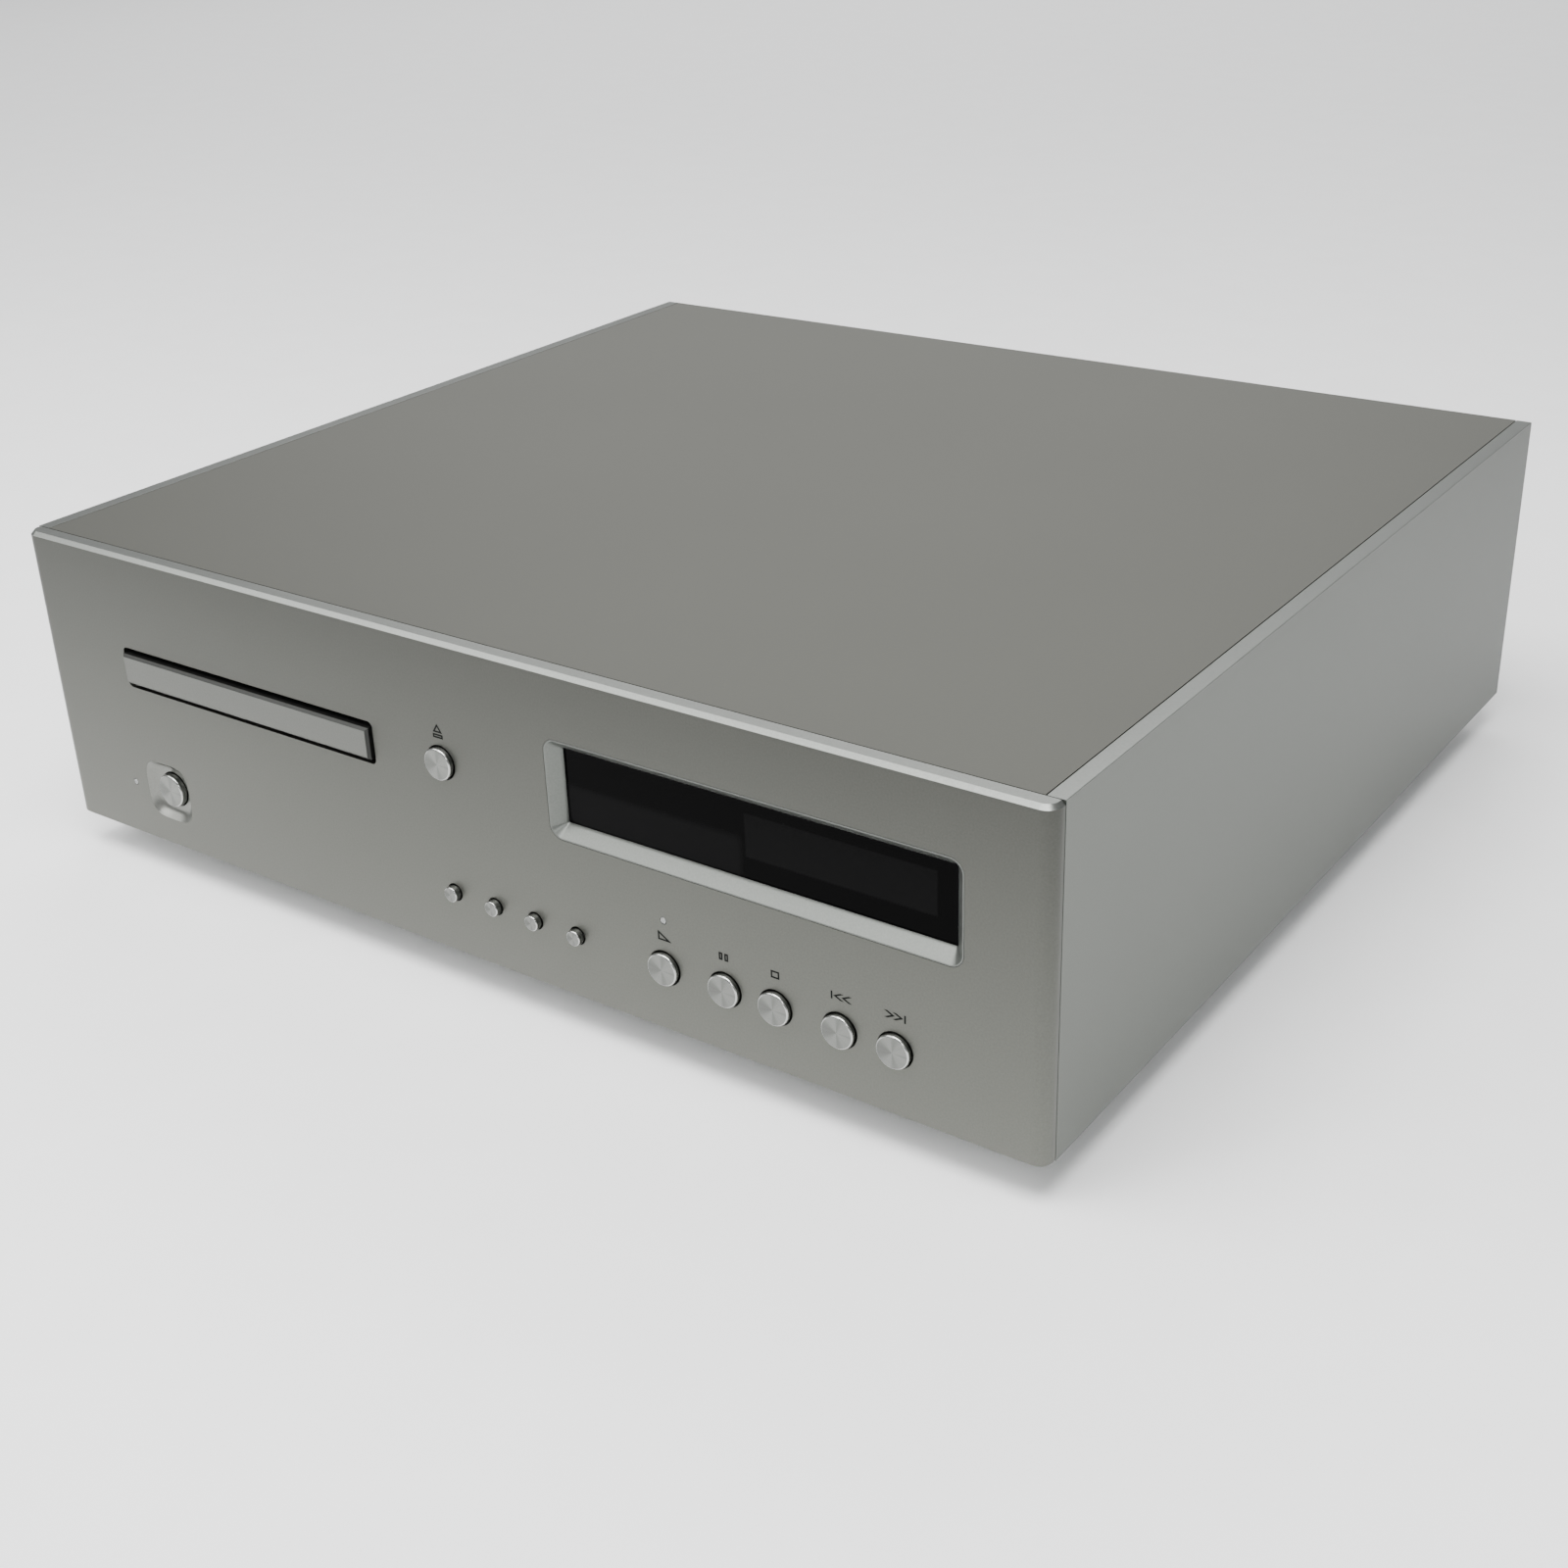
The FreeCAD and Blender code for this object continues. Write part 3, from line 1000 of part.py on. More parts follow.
def xlr_connectors():
    shapes = []
    for x in XLR_X:
        plate = rounded_block(x, JACK_Z, XLR_FLANGE, XLR_FLANGE + 5, 3, REAR_FACE, REAR_FACE + 2)
        barrel = cyl(x, REAR_Y - XLR_BACK, JACK_Z, XLR_R + 2, XLR_BACK + REAR_THICK, Y_AXIS)
        shell = fuse([plate, barrel]).cut(cyl(x, REAR_FACE + 2 - XLR_DEEP, JACK_Z, XLR_R, XLR_DEEP, Y_AXIS))
        pins = [cyl(x + 3.6 * math.cos(a), REAR_FACE - XLR_DEEP, JACK_Z + 3.6 * math.sin(a), 1.2,
                    XLR_DEEP - 1, Y_AXIS)
                for a in (math.pi / 2 + i * 2 * math.pi / 3 for i in range(3))]
        shapes.append(fuse([shell] + pins))
    return group(shapes)


def optical_ports():
    shapes = []
    for x in OPTICAL_X:
        body = box(x - 5, x + 5, REAR_Y - 10, REAR_FACE + 2, JACK_Z - 5, JACK_Z + 5)
        shapes.append(body.cut(box(x - 3, x + 3, REAR_FACE - 4, REAR_FACE + 2, JACK_Z - 3, JACK_Z + 3)))
    return group(shapes)


def mains_inlet():
    w = INLET_WIDTH / 2
    h = INLET_HEIGHT / 2
    body = box(INLET_X - w + 8, INLET_X + w - 8, REAR_Y - 18, REAR_FACE, INLET_Z - h, INLET_Z + h)
    plate = box(INLET_X - w - 3, INLET_X + w + 3, REAR_FACE, REAR_FACE + 2.5, INLET_Z - h - 3, INLET_Z
                + h + 3)
    shell = fuse([body, plate]).cut(box(INLET_X - 12.2, INLET_X + 12.2, REAR_FACE - 15, REAR_FACE + 3,
                                        INLET_Z - 8.2, INLET_Z + 8.2))
    blades = [box(INLET_X + dx - 2, INLET_X + dx + 2, REAR_FACE - 16, REAR_FACE - 3, INLET_Z + dz - 1,
                  INLET_Z + dz + 1)
              for dx, dz in ((-7, -2), (7, -2), (0, 3))]
    return fuse([shell] + blades)


def feet():
    shapes = []
    for x, y in foot_places():
        z = FOOT_PAD_THICK - FOOT_PAD_SUNK
        foot = cone(x, y, z, FOOT_R - FOOT_TAPER, FOOT_R, FOOT_HEIGHT)
        foot = foot.cut(cyl(x, y, z, FOOT_PAD_R, FOOT_PAD_SUNK))
        shapes.append(foot.cut(cyl(x, y, z + 5, SCREW_R, 20)))
    return group(shapes)


def foot_pads():
    return group([cyl(x, y, 0, FOOT_PAD_R - FIT, FOOT_PAD_THICK) for x, y in foot_places()])


def screws():
    # every screw of the cabinet has the same thread and head
    shapes = [screw(x, y, PLATE_TOP, Z_AXIS * -1, SCREW_LENGTH) for x, y in foot_places()]
    shapes += [screw(x, BODY_DEPTH, z, Y_AXIS * -1, COVER_THICK + REAR_THICK + 1) for x,
               z in cover_screw_places()]
    shapes += [screw(x, SUBPLATE_BACK, z, Y_AXIS * -1, SUBPLATE_BACK - FRONT_THICK) for x, z in PANEL_BOSSES]
    shapes += [screw(x, y, BASE_TOP + BRIDGE_THICK, Z_AXIS * -1, SCREW_LENGTH) for x,
               y in bridge_screw_places()]
    return group(shapes)


PIECES = {
    "front_panel": front_panel, "display_bezel": display_bezel, "display_window": display_window,
    "left_side_panel": lambda: side_panel(-1), "right_side_panel": lambda: side_panel(1),
    "top_cover": top_cover, "bottom_plate": bottom_plate, "rear_panel": rear_panel,
    "front_subplate": front_subplate, "indicator_lamps": lamps, "key_board": key_board,
    "key_switches": key_switches, "display_module": display_module, "tray": tray_plate,
    "tray_front": tray_front, "drive_gear": drive_gear, "pulley_gear": pulley_gear,
    "motor_pulley": motor_pulley, "loading_belt": loading_belt, "loading_motor": loading_motor,
    "transport_pillars": transport_pillars, "transport_base": transport_base,
    "clamp_bridge": clamp_bridge, "clamp_puck": clamp_puck, "traverse_frame": traverse_frame,
    "guide_rods": guide_rods, "spindle_motor": spindle_motor, "turntable": turntable,
    "pickup_sled": pickup_sled, "objective_lens": objective_lens, "feed_gear": feed_gear,
    "feed_motor_pinion": feed_motor_pinion, "feed_motor": feed_motor, "cam_slider": cam_slider,
    "power_board": power_board, "filter_capacitors": filter_capacitors, "heat_sink": heat_sink,
    "power_transformer": power_transformer, "transformer_clamp": transformer_clamp,
    "digital_board": digital_board, "audio_board": audio_board,
    "chassis_partition": chassis_partition, "phono_jacks": phono_jacks, "xlr_connectors": xlr_connectors,
    "optical_ports": optical_ports, "mains_inlet": mains_inlet, "feet": feet, "foot_pads": foot_pads,
    "screws": screws,
}


def write_parts():
    os.makedirs("parts", exist_ok=True)
    pieces = {name: make() for name, make in PIECES.items()}
    for name, sizes in BUTTONS.items():
        pieces[name] = button(*sizes)
    for name, shape in pieces.items():
        placed = moved(shape, 0, Y_OFFSET, 0)
        placed.exportStep("parts/%s.step" % name)
        print("%-20s solids %2d valid %s volume %.0f" % (name, len(placed.Solids), placed.isValid(),
                                                         placed.Volume))


write_parts()
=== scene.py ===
import bpy
import json
import math
from mathutils import Matrix, Vector


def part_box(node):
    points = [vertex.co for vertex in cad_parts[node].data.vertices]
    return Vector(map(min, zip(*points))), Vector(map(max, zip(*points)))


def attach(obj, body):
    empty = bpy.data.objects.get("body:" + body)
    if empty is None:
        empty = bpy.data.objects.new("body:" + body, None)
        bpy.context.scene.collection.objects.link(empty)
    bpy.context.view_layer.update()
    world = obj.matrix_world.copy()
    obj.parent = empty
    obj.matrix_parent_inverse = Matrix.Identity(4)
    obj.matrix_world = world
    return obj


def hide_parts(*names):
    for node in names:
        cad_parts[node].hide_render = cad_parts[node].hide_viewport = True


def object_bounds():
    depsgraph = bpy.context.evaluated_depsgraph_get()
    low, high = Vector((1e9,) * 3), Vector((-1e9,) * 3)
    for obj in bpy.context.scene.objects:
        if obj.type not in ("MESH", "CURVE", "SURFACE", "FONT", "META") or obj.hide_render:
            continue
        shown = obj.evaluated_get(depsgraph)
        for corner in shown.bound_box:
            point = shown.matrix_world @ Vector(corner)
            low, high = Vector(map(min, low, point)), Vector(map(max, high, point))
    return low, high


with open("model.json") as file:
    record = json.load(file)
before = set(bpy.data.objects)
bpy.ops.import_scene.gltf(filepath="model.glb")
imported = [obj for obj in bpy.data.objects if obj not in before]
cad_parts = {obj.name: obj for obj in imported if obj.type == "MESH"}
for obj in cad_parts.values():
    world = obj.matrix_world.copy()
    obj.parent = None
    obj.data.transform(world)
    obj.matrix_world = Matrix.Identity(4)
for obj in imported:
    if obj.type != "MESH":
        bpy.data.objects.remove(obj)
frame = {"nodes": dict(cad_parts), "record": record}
CAD_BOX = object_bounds()
NODES = frame["nodes"]
MM = 0.001
TOUCH = 1e-6


def near(a, b):
    return abs(a - b) < TOUCH


def centre(node):
    low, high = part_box(node)
    return (low + high) / 2


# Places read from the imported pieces, in metres
PANEL_LOW, PANEL_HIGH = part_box("front_panel")
PANEL_GAP = 0.4 * MM
FRONT = PANEL_LOW.y
PANEL_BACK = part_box("right_side_panel")[0].y - PANEL_GAP
BODY_BOTTOM = PANEL_LOW.z
BODY_TOP = PANEL_HIGH.z
SLOT = Vector((centre("tray_front").x, FRONT, centre("tray_front").z))
WINDOW = centre("display_window")
LAMP_LOW, LAMP_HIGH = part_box("indicator_lamps")
LAMP_R = 1.1 * MM
LAMPS = [Vector((LAMP_LOW.x + LAMP_R, FRONT, LAMP_LOW.z + LAMP_R)),
         Vector((LAMP_HIGH.x - LAMP_R, FRONT, LAMP_HIGH.z - LAMP_R))]

# Sizes of the finish on edges and openings
CORNER_R = 5.0 * MM
TOP_CHAMFER = 1.4 * MM
SIDE_CHAMFER = 0.35 * MM
HOLE_GAP = 0.5 * MM
SLOT_SIZE = (130.6 * MM, 16.2 * MM)
SLOT_R = 2.0 * MM
DISPLAY_SIZE = (155.9 * MM, 36.1 * MM)
DISPLAY_R = 5.0 * MM
DISH_SIZE = (24.0 * MM, 23.8 * MM)
DISH_DEPTH = 3.2 * MM
DISH_START = FRONT + 0.03 * MM
DISH_POWER = 3.6
DISH_STEPS = 16
CUT_PAST = 2 * MM
TRAY_CHAMFER = 1.0 * MM
POWER_CAP_R = 6.7 * MM
CAP_R = 5.9 * MM
MODE_CAP_R = 2.85 * MM
CAP_DISHED = 0.12 * MM
CAP_INSIDE = 0.6 * MM
LAMP_HOLE_R = 1.32 * MM
LAMP_PROUD = 0.28 * MM
LAMP_DEPTH = 6 * MM
FOOT_R = 26 * MM
FOOT_GROOVE = 0.8 * MM
FLOOR_SIZE = 12.0

# Marks printed on the panel
LINE = 0.58 * MM
INK_DEPTH = 0.04 * MM
EJECT_RISE = 12.4 * MM
MARK_RISE = 12.0 * MM
CHEVRON_SIZE = (2.55 * MM, 2.5 * MM)
CHEVRON_STEP = 3.0 * MM
CHEVRON_STROKE = LINE * 2.15

# Tube, card and dots behind the window, from the window's middle
TUBE_LEFT = -2.3 * MM
TUBE_BOTTOM = -6 * MM
TUBE_SIZE = (68.3 * MM, 15 * MM)
TUBE_MIDDLE = WINDOW + Vector((TUBE_LEFT + TUBE_SIZE[0] / 2, 0, TUBE_BOTTOM + TUBE_SIZE[1] / 2))
# a lighter patch on the glass, low down left of the tube: a painted reflection
GLASS_REFLECTION_SIZE = (72 * MM, 14 * MM)
GLASS_REFLECTION_MIDDLE = WINDOW + Vector((TUBE_LEFT - 2 * MM - GLASS_REFLECTION_SIZE[0] / 2, 0, -7 * MM))
CARD_THICK = 0.6 * MM
DOT_PLACES = (-54 * MM, -38 * MM, -24 * MM, -14 * MM)
DOT_LEVELS = (5.6 * MM, -3.8 * MM)
DOT_PROFILE = [(-0.3 * MM, 0.45 * MM), (0.01 * MM, 0.45 * MM), (0.04 * MM, 0.35 * MM)]

# Camera, with its angles in degrees
EYE = (453.85, -645.87, 391.95)
AZIMUTH, ELEVATION, ROLL = 36.82, 26.37, -2.43
LENS_LENGTH = 48.18
SHIFT = (0.016, -0.0048)

BUTTONS = ["power_button", "eject_button", "play_button", "pause_button", "stop_button",
           "previous_button", "next_button"] + ["mode_button_%d" % i for i in (1, 2, 3, 4)]


# Selecting and editing

def only(piece):
    bpy.ops.object.select_all(action="DESELECT")
    piece.select_set(True)
    bpy.context.view_layer.objects.active = piece


def pick(piece, kind, test):
    # leaves the piece in edit mode with the elements of that kind chosen that pass the test
    done()
    only(piece)
    mesh = piece.data
    bpy.ops.object.mode_set(mode="EDIT")
    bpy.ops.mesh.select_mode(type=kind)
    bpy.ops.mesh.select_all(action="DESELECT")
    bpy.ops.object.mode_set(mode="OBJECT")
    items = {"VERT": mesh.vertices, "EDGE": mesh.edges, "FACE": mesh.polygons}[kind]
    for item in items:
        item.select = test(item)
    bpy.ops.object.mode_set(mode="EDIT")


def done():
    if bpy.context.mode != "OBJECT":
        bpy.ops.object.mode_set(mode="OBJECT")


def ends(piece, edge):
    return [piece.data.vertices[i].co for i in edge.vertices]


def settle(piece, name):
    # the place goes into the mesh and the object stays at the origin
    only(piece)
    bpy.ops.object.transform_apply(location=True, rotation=True, scale=True)
    piece.name = name
    piece.data.name = name
    return piece


def cube(name, low, high):
    low = Vector(low)
    high = Vector(high)
    bpy.ops.object.select_all(action="DESELECT")
    bpy.ops.mesh.primitive_cube_add(size=1, location=(low + high) / 2)
    piece = bpy.context.object
    piece.scale = high - low
    return settle(piece, name)


def rod(name, x, z, r, y0, y1, sides=96, fill="NGON"):
    # a cylinder along the depth of the cabinet
    bpy.ops.object.select_all(action="DESELECT")
    bpy.ops.mesh.primitive_cylinder_add(vertices=sides, radius=r, depth=y1 - y0, end_fill_type=fill,
                                        location=(x, (y0 + y1) / 2, z), rotation=(math.pi / 2, 0, 0))
    return settle(bpy.context.object, name)


def rounded_cube(name, low, high, r, segments=8):
    # a block whose four edges along the depth are rounded
    piece = cube(name, low, high)
    pick(piece, "EDGE", lambda e: not near(ends(piece, e)[0].y, ends(piece, e)[1].y))
    bpy.ops.mesh.bevel(offset=r, segments=segments, affect="EDGES")
    done()
    return piece


def modify(piece, kind, **values):
    only(piece)
    m = piece.modifiers.new(kind.lower(), kind)
    for key, value in values.items():
        setattr(m, key, value)
    bpy.ops.object.modifier_apply(modifier=m.name)


def carve(piece, cutter):
    modify(piece, "BOOLEAN", operation="DIFFERENCE", object=cutter, solver="EXACT")
    bpy.data.objects.remove(cutter)


def soften(piece, width=0.12 * MM, segments=2, angle=30):
    # breaks the sharp edges a little and shades the round ones smooth
    modify(piece, "BEVEL", width=width, segments=segments, limit_method="ANGLE",
           angle_limit=math.radians(angle), harden_normals=False, use_clamp_overlap=True)
    only(piece)
    bpy.ops.object.shade_smooth_by_angle(angle=math.radians(angle))
    modify(piece, "WEIGHTED_NORMAL", keep_sharp=True, weight=80)


def dress(piece, body, slot, *materials, replaces=()):
    piece.data.materials.clear()
    for material in materials:
        piece.data.materials.append(material)
    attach(piece, body)
    if replaces:
        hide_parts(*replaces)
    return piece


# Materials

class Graph:
    # a small hand for laying out a material's nodes
    def __init__(self, name):
        self.material = bpy.data.materials.new(name)
        self.material.use_nodes = True
        self.nodes = self.material.node_tree.nodes
        self.links = self.material.node_tree.links
        self.shader = self.nodes["Principled BSDF"]

    def add(self, kind, inputs=None, **settings):
        node = self.nodes.new("ShaderNode" + kind)
        for key, value in settings.items():
            setattr(node, key, value)
        for key, value in (inputs or {}).items():
            self.put(node, key, value)
        return node

    def put(self, node, key, value):
        socket = node.inputs[key]
        if isinstance(value, bpy.types.NodeSocket):
            self.links.new(value, socket)
        else:
            socket.default_value = value

    def set(self, **values):
        for key, value in values.items():
            self.put(self.shader, key.replace("_", " "), value)

    def grain(self, scale, detail=2.0, rough=0.5):
        place = self.add("TexCoord").outputs["Object"]
        noise = self.add("TexNoise", {"Vector": place, "Scale": scale, "Detail": detail, "Roughness": rough})
        return noise.outputs["Fac"]

    def ramp(self, source, stops):
        node = self.add("ValToRGB", {"Fac": source})
        while len(node.color_ramp.elements) < len(stops):
            node.color_ramp.elements.new(0.5)
        for element, (place, colour) in zip(node.color_ramp.elements, stops):
            element.position = place
            element.color = colour if len(colour) == 4 else (*colour, 1)
        return node.outputs["Color"]

    def within(self, middle, size, blur):
        # one inside an upright rectangle and nought outside it, with a soft edge
        place = self.add("TexCoord").outputs["Object"]
        shift = self.add("Mapping", {"Vector": place, "Location": -middle})
        parts = self.add("SeparateXYZ", {"Vector": shift.outputs["Vector"]})
        sides = []
        for axis, half in (("X", size[0] / 2), ("Z", size[1] / 2)):
            reach = self.add("Math", {0: parts.outputs[axis]}, operation="ABSOLUTE").outputs["Value"]
            limits = {"Value": reach, "From Min": half - blur / 2, "From Max": half + blur / 2,
                      "To Min": 1.0, "To Max": 0.0}
            sides.append(self.add("MapRange", limits).outputs["Result"])
        return self.add("Math", {0: sides[0], 1: sides[1]}, operation="MULTIPLY").outputs["Value"]

    def mixed(self, first, second, share=1.0, way="MULTIPLY"):
        # inputs 6 and 7 and output 2 are the colours of this node
        node = self.add("Mix", {0: share, 6: first, 7: second}, data_type="RGBA", blend_type=way)
        return node.outputs[2]

    def span(self, source, low, high):
        node = self.add("MapRange", {"Value": source, "To Min": low, "To Max": high})
        return node.outputs["Result"]

    def bump(self, height, depth, strength=1.0):
        if not depth:
            return
        node = self.add("Bump", {"Height": height, "Distance": depth, "Strength": strength})
        self.set(Normal=node.outputs["Normal"])


CLOUD = 0.015


def tint(colour, factor):
    return tuple(min(1.0, c * factor) for c in colour)


def blasted_metal(name, colour, roughness=0.42, metallic=0.85, grain=1500.0, depth=0.00002, rise=0.0,
                  fade=0.0):
    # bead-blasted metal: a fine even grain, and faint clouds of tone
    g = Graph(name)
    fine = g.grain(grain, 2.0, 0.6)
    broad = g.grain(9.0, 3.0, 0.5)
    clouds = g.ramp(broad, [(0.3, tint(colour, 1 - CLOUD)), (0.7, tint(colour, 1 + CLOUD))])
    speck = g.ramp(fine, [(0.3, (0.86, 0.86, 0.86)), (0.7, (1.0, 1.0, 1.0))])
    tone = g.mixed(clouds, speck)
    # the tone changes towards the top edge or the back, and stands for the fall of light in the photograph
    slopes = (("Z", BODY_BOTTOM, BODY_TOP, rise), ("Y", CAD_BOX[0].y, CAD_BOX[1].y, fade))
    for axis, start, end, share in slopes:
        if share:
            place = g.add("SeparateXYZ", {"Vector": g.add("TexCoord").outputs["Object"]}).outputs[axis]
            level = g.add("MapRange", {"Value": place, "From Min": start, "From Max": end}).outputs["Result"]
            last = 1 - share
            tone = g.mixed(tone, g.ramp(level, [(0.0, (1.0, 1.0, 1.0)), (1.0, (last, last, last))]))
    g.set(Base_Color=tone, Metallic=metallic)
    g.set(Roughness=g.span(fine, roughness - 0.05, roughness + 0.07))
    g.bump(fine, depth)
    return g.material


def turned_metal(name, colour, roughness=0.24):
    # faced on a lathe: fine rings, and a highlight drawn out across them by the sheen; the bright and dark
    # wedges of tone round the face are a painted highlight
    g = Graph(name)
    ring = g.add("UVMap", uv_map="turned").outputs["UV"]
    split = g.add("SeparateXYZ", {"Vector": ring})
    line = g.add("TexNoise", {"Scale": 9000.0, "Detail": 1.0}, noise_dimensions="1D")
    g.put(line, "W", split.outputs["Y"])
    # wedges of tone round the face: a painted highlight, the fan that light draws on turned metal
    wedge_noise = g.add("TexNoise", {"Scale": 5.0, "Detail": 1.5, "Roughness": 0.4}, noise_dimensions="1D")
    g.put(wedge_noise, "W", g.add("Math", {0: split.outputs["X"], 1: 0.5}, operation="PINGPONG").outputs["Value"])
    rings = g.ramp(line.outputs["Fac"], [(0.3, tint(colour, 0.9)), (0.7, tint(colour, 1.05))])
    painted_fan_highlight = g.ramp(wedge_noise.outputs["Fac"], [(0.38, (0.6, 0.6, 0.6)), (0.62, (1.0, 1.0, 1.0))])
    g.set(Base_Color=g.mixed(rings, painted_fan_highlight), Metallic=1.0, Roughness=roughness, Anisotropic=0.85,
          Anisotropic_Rotation=0.25)
    g.set(Tangent=g.add("Tangent", direction_type="UV_MAP", uv_map="turned").outputs["Tangent"])
    g.bump(line.outputs["Fac"], 0.000004, 0.6)
    return g.material


def polished_metal(name, colour, roughness=0.1):
    g = Graph(name)
    fine = g.grain(3000.0)
    g.set(Base_Color=(*colour, 1), Metallic=1.0, Roughness=g.span(fine, roughness, roughness + 0.06))
    return g.material


def sheet_steel(name, colour, roughness=0.38):
    # plated sheet with the long faint lines of rolling
    g = Graph(name)
    place = g.add("TexCoord").outputs["Object"]
    stretch = g.add("Mapping", {"Vector": place, "Scale": (1500.0, 12.0, 1500.0)})
    noise = g.add("TexNoise", {"Vector": stretch.outputs["Vector"], "Scale": 1.0, "Detail": 2.0})
    line = noise.outputs["Fac"]
    tone = g.ramp(line, [(0.3, tint(colour, 0.88)), (0.7, tint(colour, 1.08))])
    g.set(Base_Color=tone, Metallic=0.9, Roughness=g.span(line, roughness - 0.08, roughness + 0.1))
    g.bump(line, 0.00001, 0.4)
    return g.material


def moulded(name, colour, roughness=0.5, grain=1500.0, depth=0.00002, spread=0.08, specular=0.5):
    # plastic, rubber or paint with a fine moulded grain
    g = Graph(name)
    fine = g.grain(grain, 2.0, 0.55)
    tone = g.ramp(g.grain(30.0, 3.0), [(0.3, tint(colour, 1 - spread)), (0.7, tint(colour, 1 + spread))])
    g.set(Base_Color=tone, Roughness=g.span(fine, roughness - 0.08, roughness + 0.08),
          Specular_IOR_Level=specular)
    g.bump(fine, depth)
    return g.material


def circuit_board(name, colour):
    # solder mask over tracks, with pale pads on a square grid
    g = Graph(name)
    place = g.add("TexCoord").outputs["Object"]
    cells = g.add("TexVoronoi", {"Vector": place, "Scale": 260.0}, distance="CHEBYCHEV", feature="F1")
    lines = g.add("TexBrick", {"Vector": place, "Scale": 120.0, "Mortar Size": 0.06})
    track = g.ramp(lines.outputs["Fac"], [(0.2, colour), (0.8, tint(colour, 1.9))])
    pad = g.ramp(cells.outputs["Distance"], [(0.10, (1, 1, 1)), (0.16, (0, 0, 0))])
    g.set(Base_Color=g.mixed(track, (0.5, 0.5, 0.45, 1), pad, "MIX"), Roughness=0.35)
    g.bump(lines.outputs["Fac"], 0.00003, 0.5)
    return g.material


def smoked_glass(name):
    # an opaque dark sheet; a lighter patch stands for the tube behind it, and a lighter patch low down to
    # the tube's left is a painted reflection
    g = Graph(name)
    haze = g.grain(40.0, 3.0)
    tube = g.within(TUBE_MIDDLE, TUBE_SIZE, 0.6 * MM)
    # the patch named card is a painted reflection on the glass, not the card behind it
    card = g.within(GLASS_REFLECTION_MIDDLE, GLASS_REFLECTION_SIZE, 2.5 * MM)
    seen = g.add("Math", {0: tube, 1: card}, operation="MAXIMUM").outputs["Value"]
    tone = g.ramp(seen, [(0.0, (0.0006, 0.0006, 0.00065)), (1.0, (0.0034, 0.0034, 0.0035))])
    g.set(Base_Color=tone, Roughness=g.span(haze, 0.02, 0.06), IOR=1.09)
    return g.material


def clear_tip(name, colour):
    # a grey moulded light guide that lets some light through
    g = Graph(name)
    dots = g.grain(900.0, 1.0)
    g.set(Base_Color=(*colour, 1), Roughness=g.span(dots, 0.05, 0.12), IOR=1.49, Transmission_Weight=0.25)
    return g.material


# rise and fade are painted light and shade: the panel and the tray front grow darker towards the top, the
# sides darker and the cover lighter towards the back; the two sides are one metal with different painted
# shade
PANEL = blasted_metal("silver_panel", (0.139, 0.1415, 0.126), 0.40, rise=0.52)
# a lighter copy of the panel's metal: its lower roughness is the dish's own finish, and its lighter tone is
# a painted highlight
DISH_WITH_PAINTED_HIGHLIGHT = blasted_metal("dish_metal_painted_highlight", (0.2, 0.204, 0.188), 0.32)
LEFT_SIDE = blasted_metal("silver_left_side", (0.148, 0.157, 0.142), 0.42, fade=0.1)
RIGHT_SIDE = blasted_metal("silver_right_side", (0.144, 0.153, 0.138), 0.42, fade=0.25)
COVER = blasted_metal("silver_cover", (0.086, 0.0865, 0.075), 0.48, 0.75, fade=-0.16)
EDGE = blasted_metal("cut_edge", (0.205, 0.214, 0.2), 0.3, 0.95)
BEZEL = blasted_metal("bezel_metal", (0.138, 0.146, 0.135), 0.36)
TRAY_FACE = blasted_metal("tray_face", (0.155, 0.159, 0.146), 0.4, rise=0.25)
# near black: a painted shade on the tray front's chamfers, as if the slot's shadow lay on them
TRAY_EDGE_SHADE = blasted_metal("tray_edge_painted_shade", (0.03, 0.031, 0.029), 0.36)
TURNED = turned_metal("turned_face", (0.195, 0.2, 0.188), 0.2)
POLISHED = polished_metal("polished_edge", (0.42, 0.425, 0.41), 0.16)
WALL = polished_metal("button_wall", (0.22, 0.225, 0.215), 0.2)
INK = moulded("panel_ink", (0.004, 0.0045, 0.004), 0.85, specular=0.15)
BLACK = moulded("black_plastic", (0.018, 0.018, 0.02), 0.48)
GLASS = smoked_glass("smoked_window")
LAMP = clear_tip("lamp_tip", (0.3, 0.31, 0.3))
STEEL = sheet_steel("plated_sheet", (0.55, 0.56, 0.55))
REAR = blasted_metal("rear_paint", (0.36, 0.365, 0.35), 0.45, 0.6)
RUBBER = moulded("rubber", (0.025, 0.025, 0.026), 0.75, 900.0, 0.00005)
FOOT = moulded("foot_satin", (0.02, 0.02, 0.02), 0.35, 1200.0)
GEARS = moulded("natural_acetal", (0.78, 0.76, 0.68), 0.4, 800.0)
CASTING = blasted_metal("cast_frame", (0.25, 0.255, 0.26), 0.5, 0.7, 900.0, 0.00005)
BRIGHT = polished_metal("bright_steel", (0.75, 0.75, 0.75), 0.14)
GOLD = polished_metal("gold_plate", (0.85, 0.62, 0.22), 0.12)
BOARD = circuit_board("circuit_board", (0.012, 0.085, 0.03))
SLEEVE = moulded("capacitor_sleeve", (0.02, 0.025, 0.07), 0.25, 400.0, 0.00001)
TAPE = moulded("winding_tape", (0.62, 0.38, 0.08), 0.3, 260.0, 0.00012, 0.15)
FINS = moulded("black_anodising", (0.02, 0.02, 0.022), 0.4)
LENS = polished_metal("coated_lens", (0.25, 0.35, 0.75), 0.04)
DISPLAY = moulded("display_frame", (0.012, 0.012, 0.013), 0.55, 300.0, 0.0)
TUBE = moulded("display_tube_glass", (0.14, 0.135, 0.135), 0.3, 300.0, 0.0)
DOT = moulded("display_dot", (0.8, 0.8, 0.82), 0.4)


# Front panel

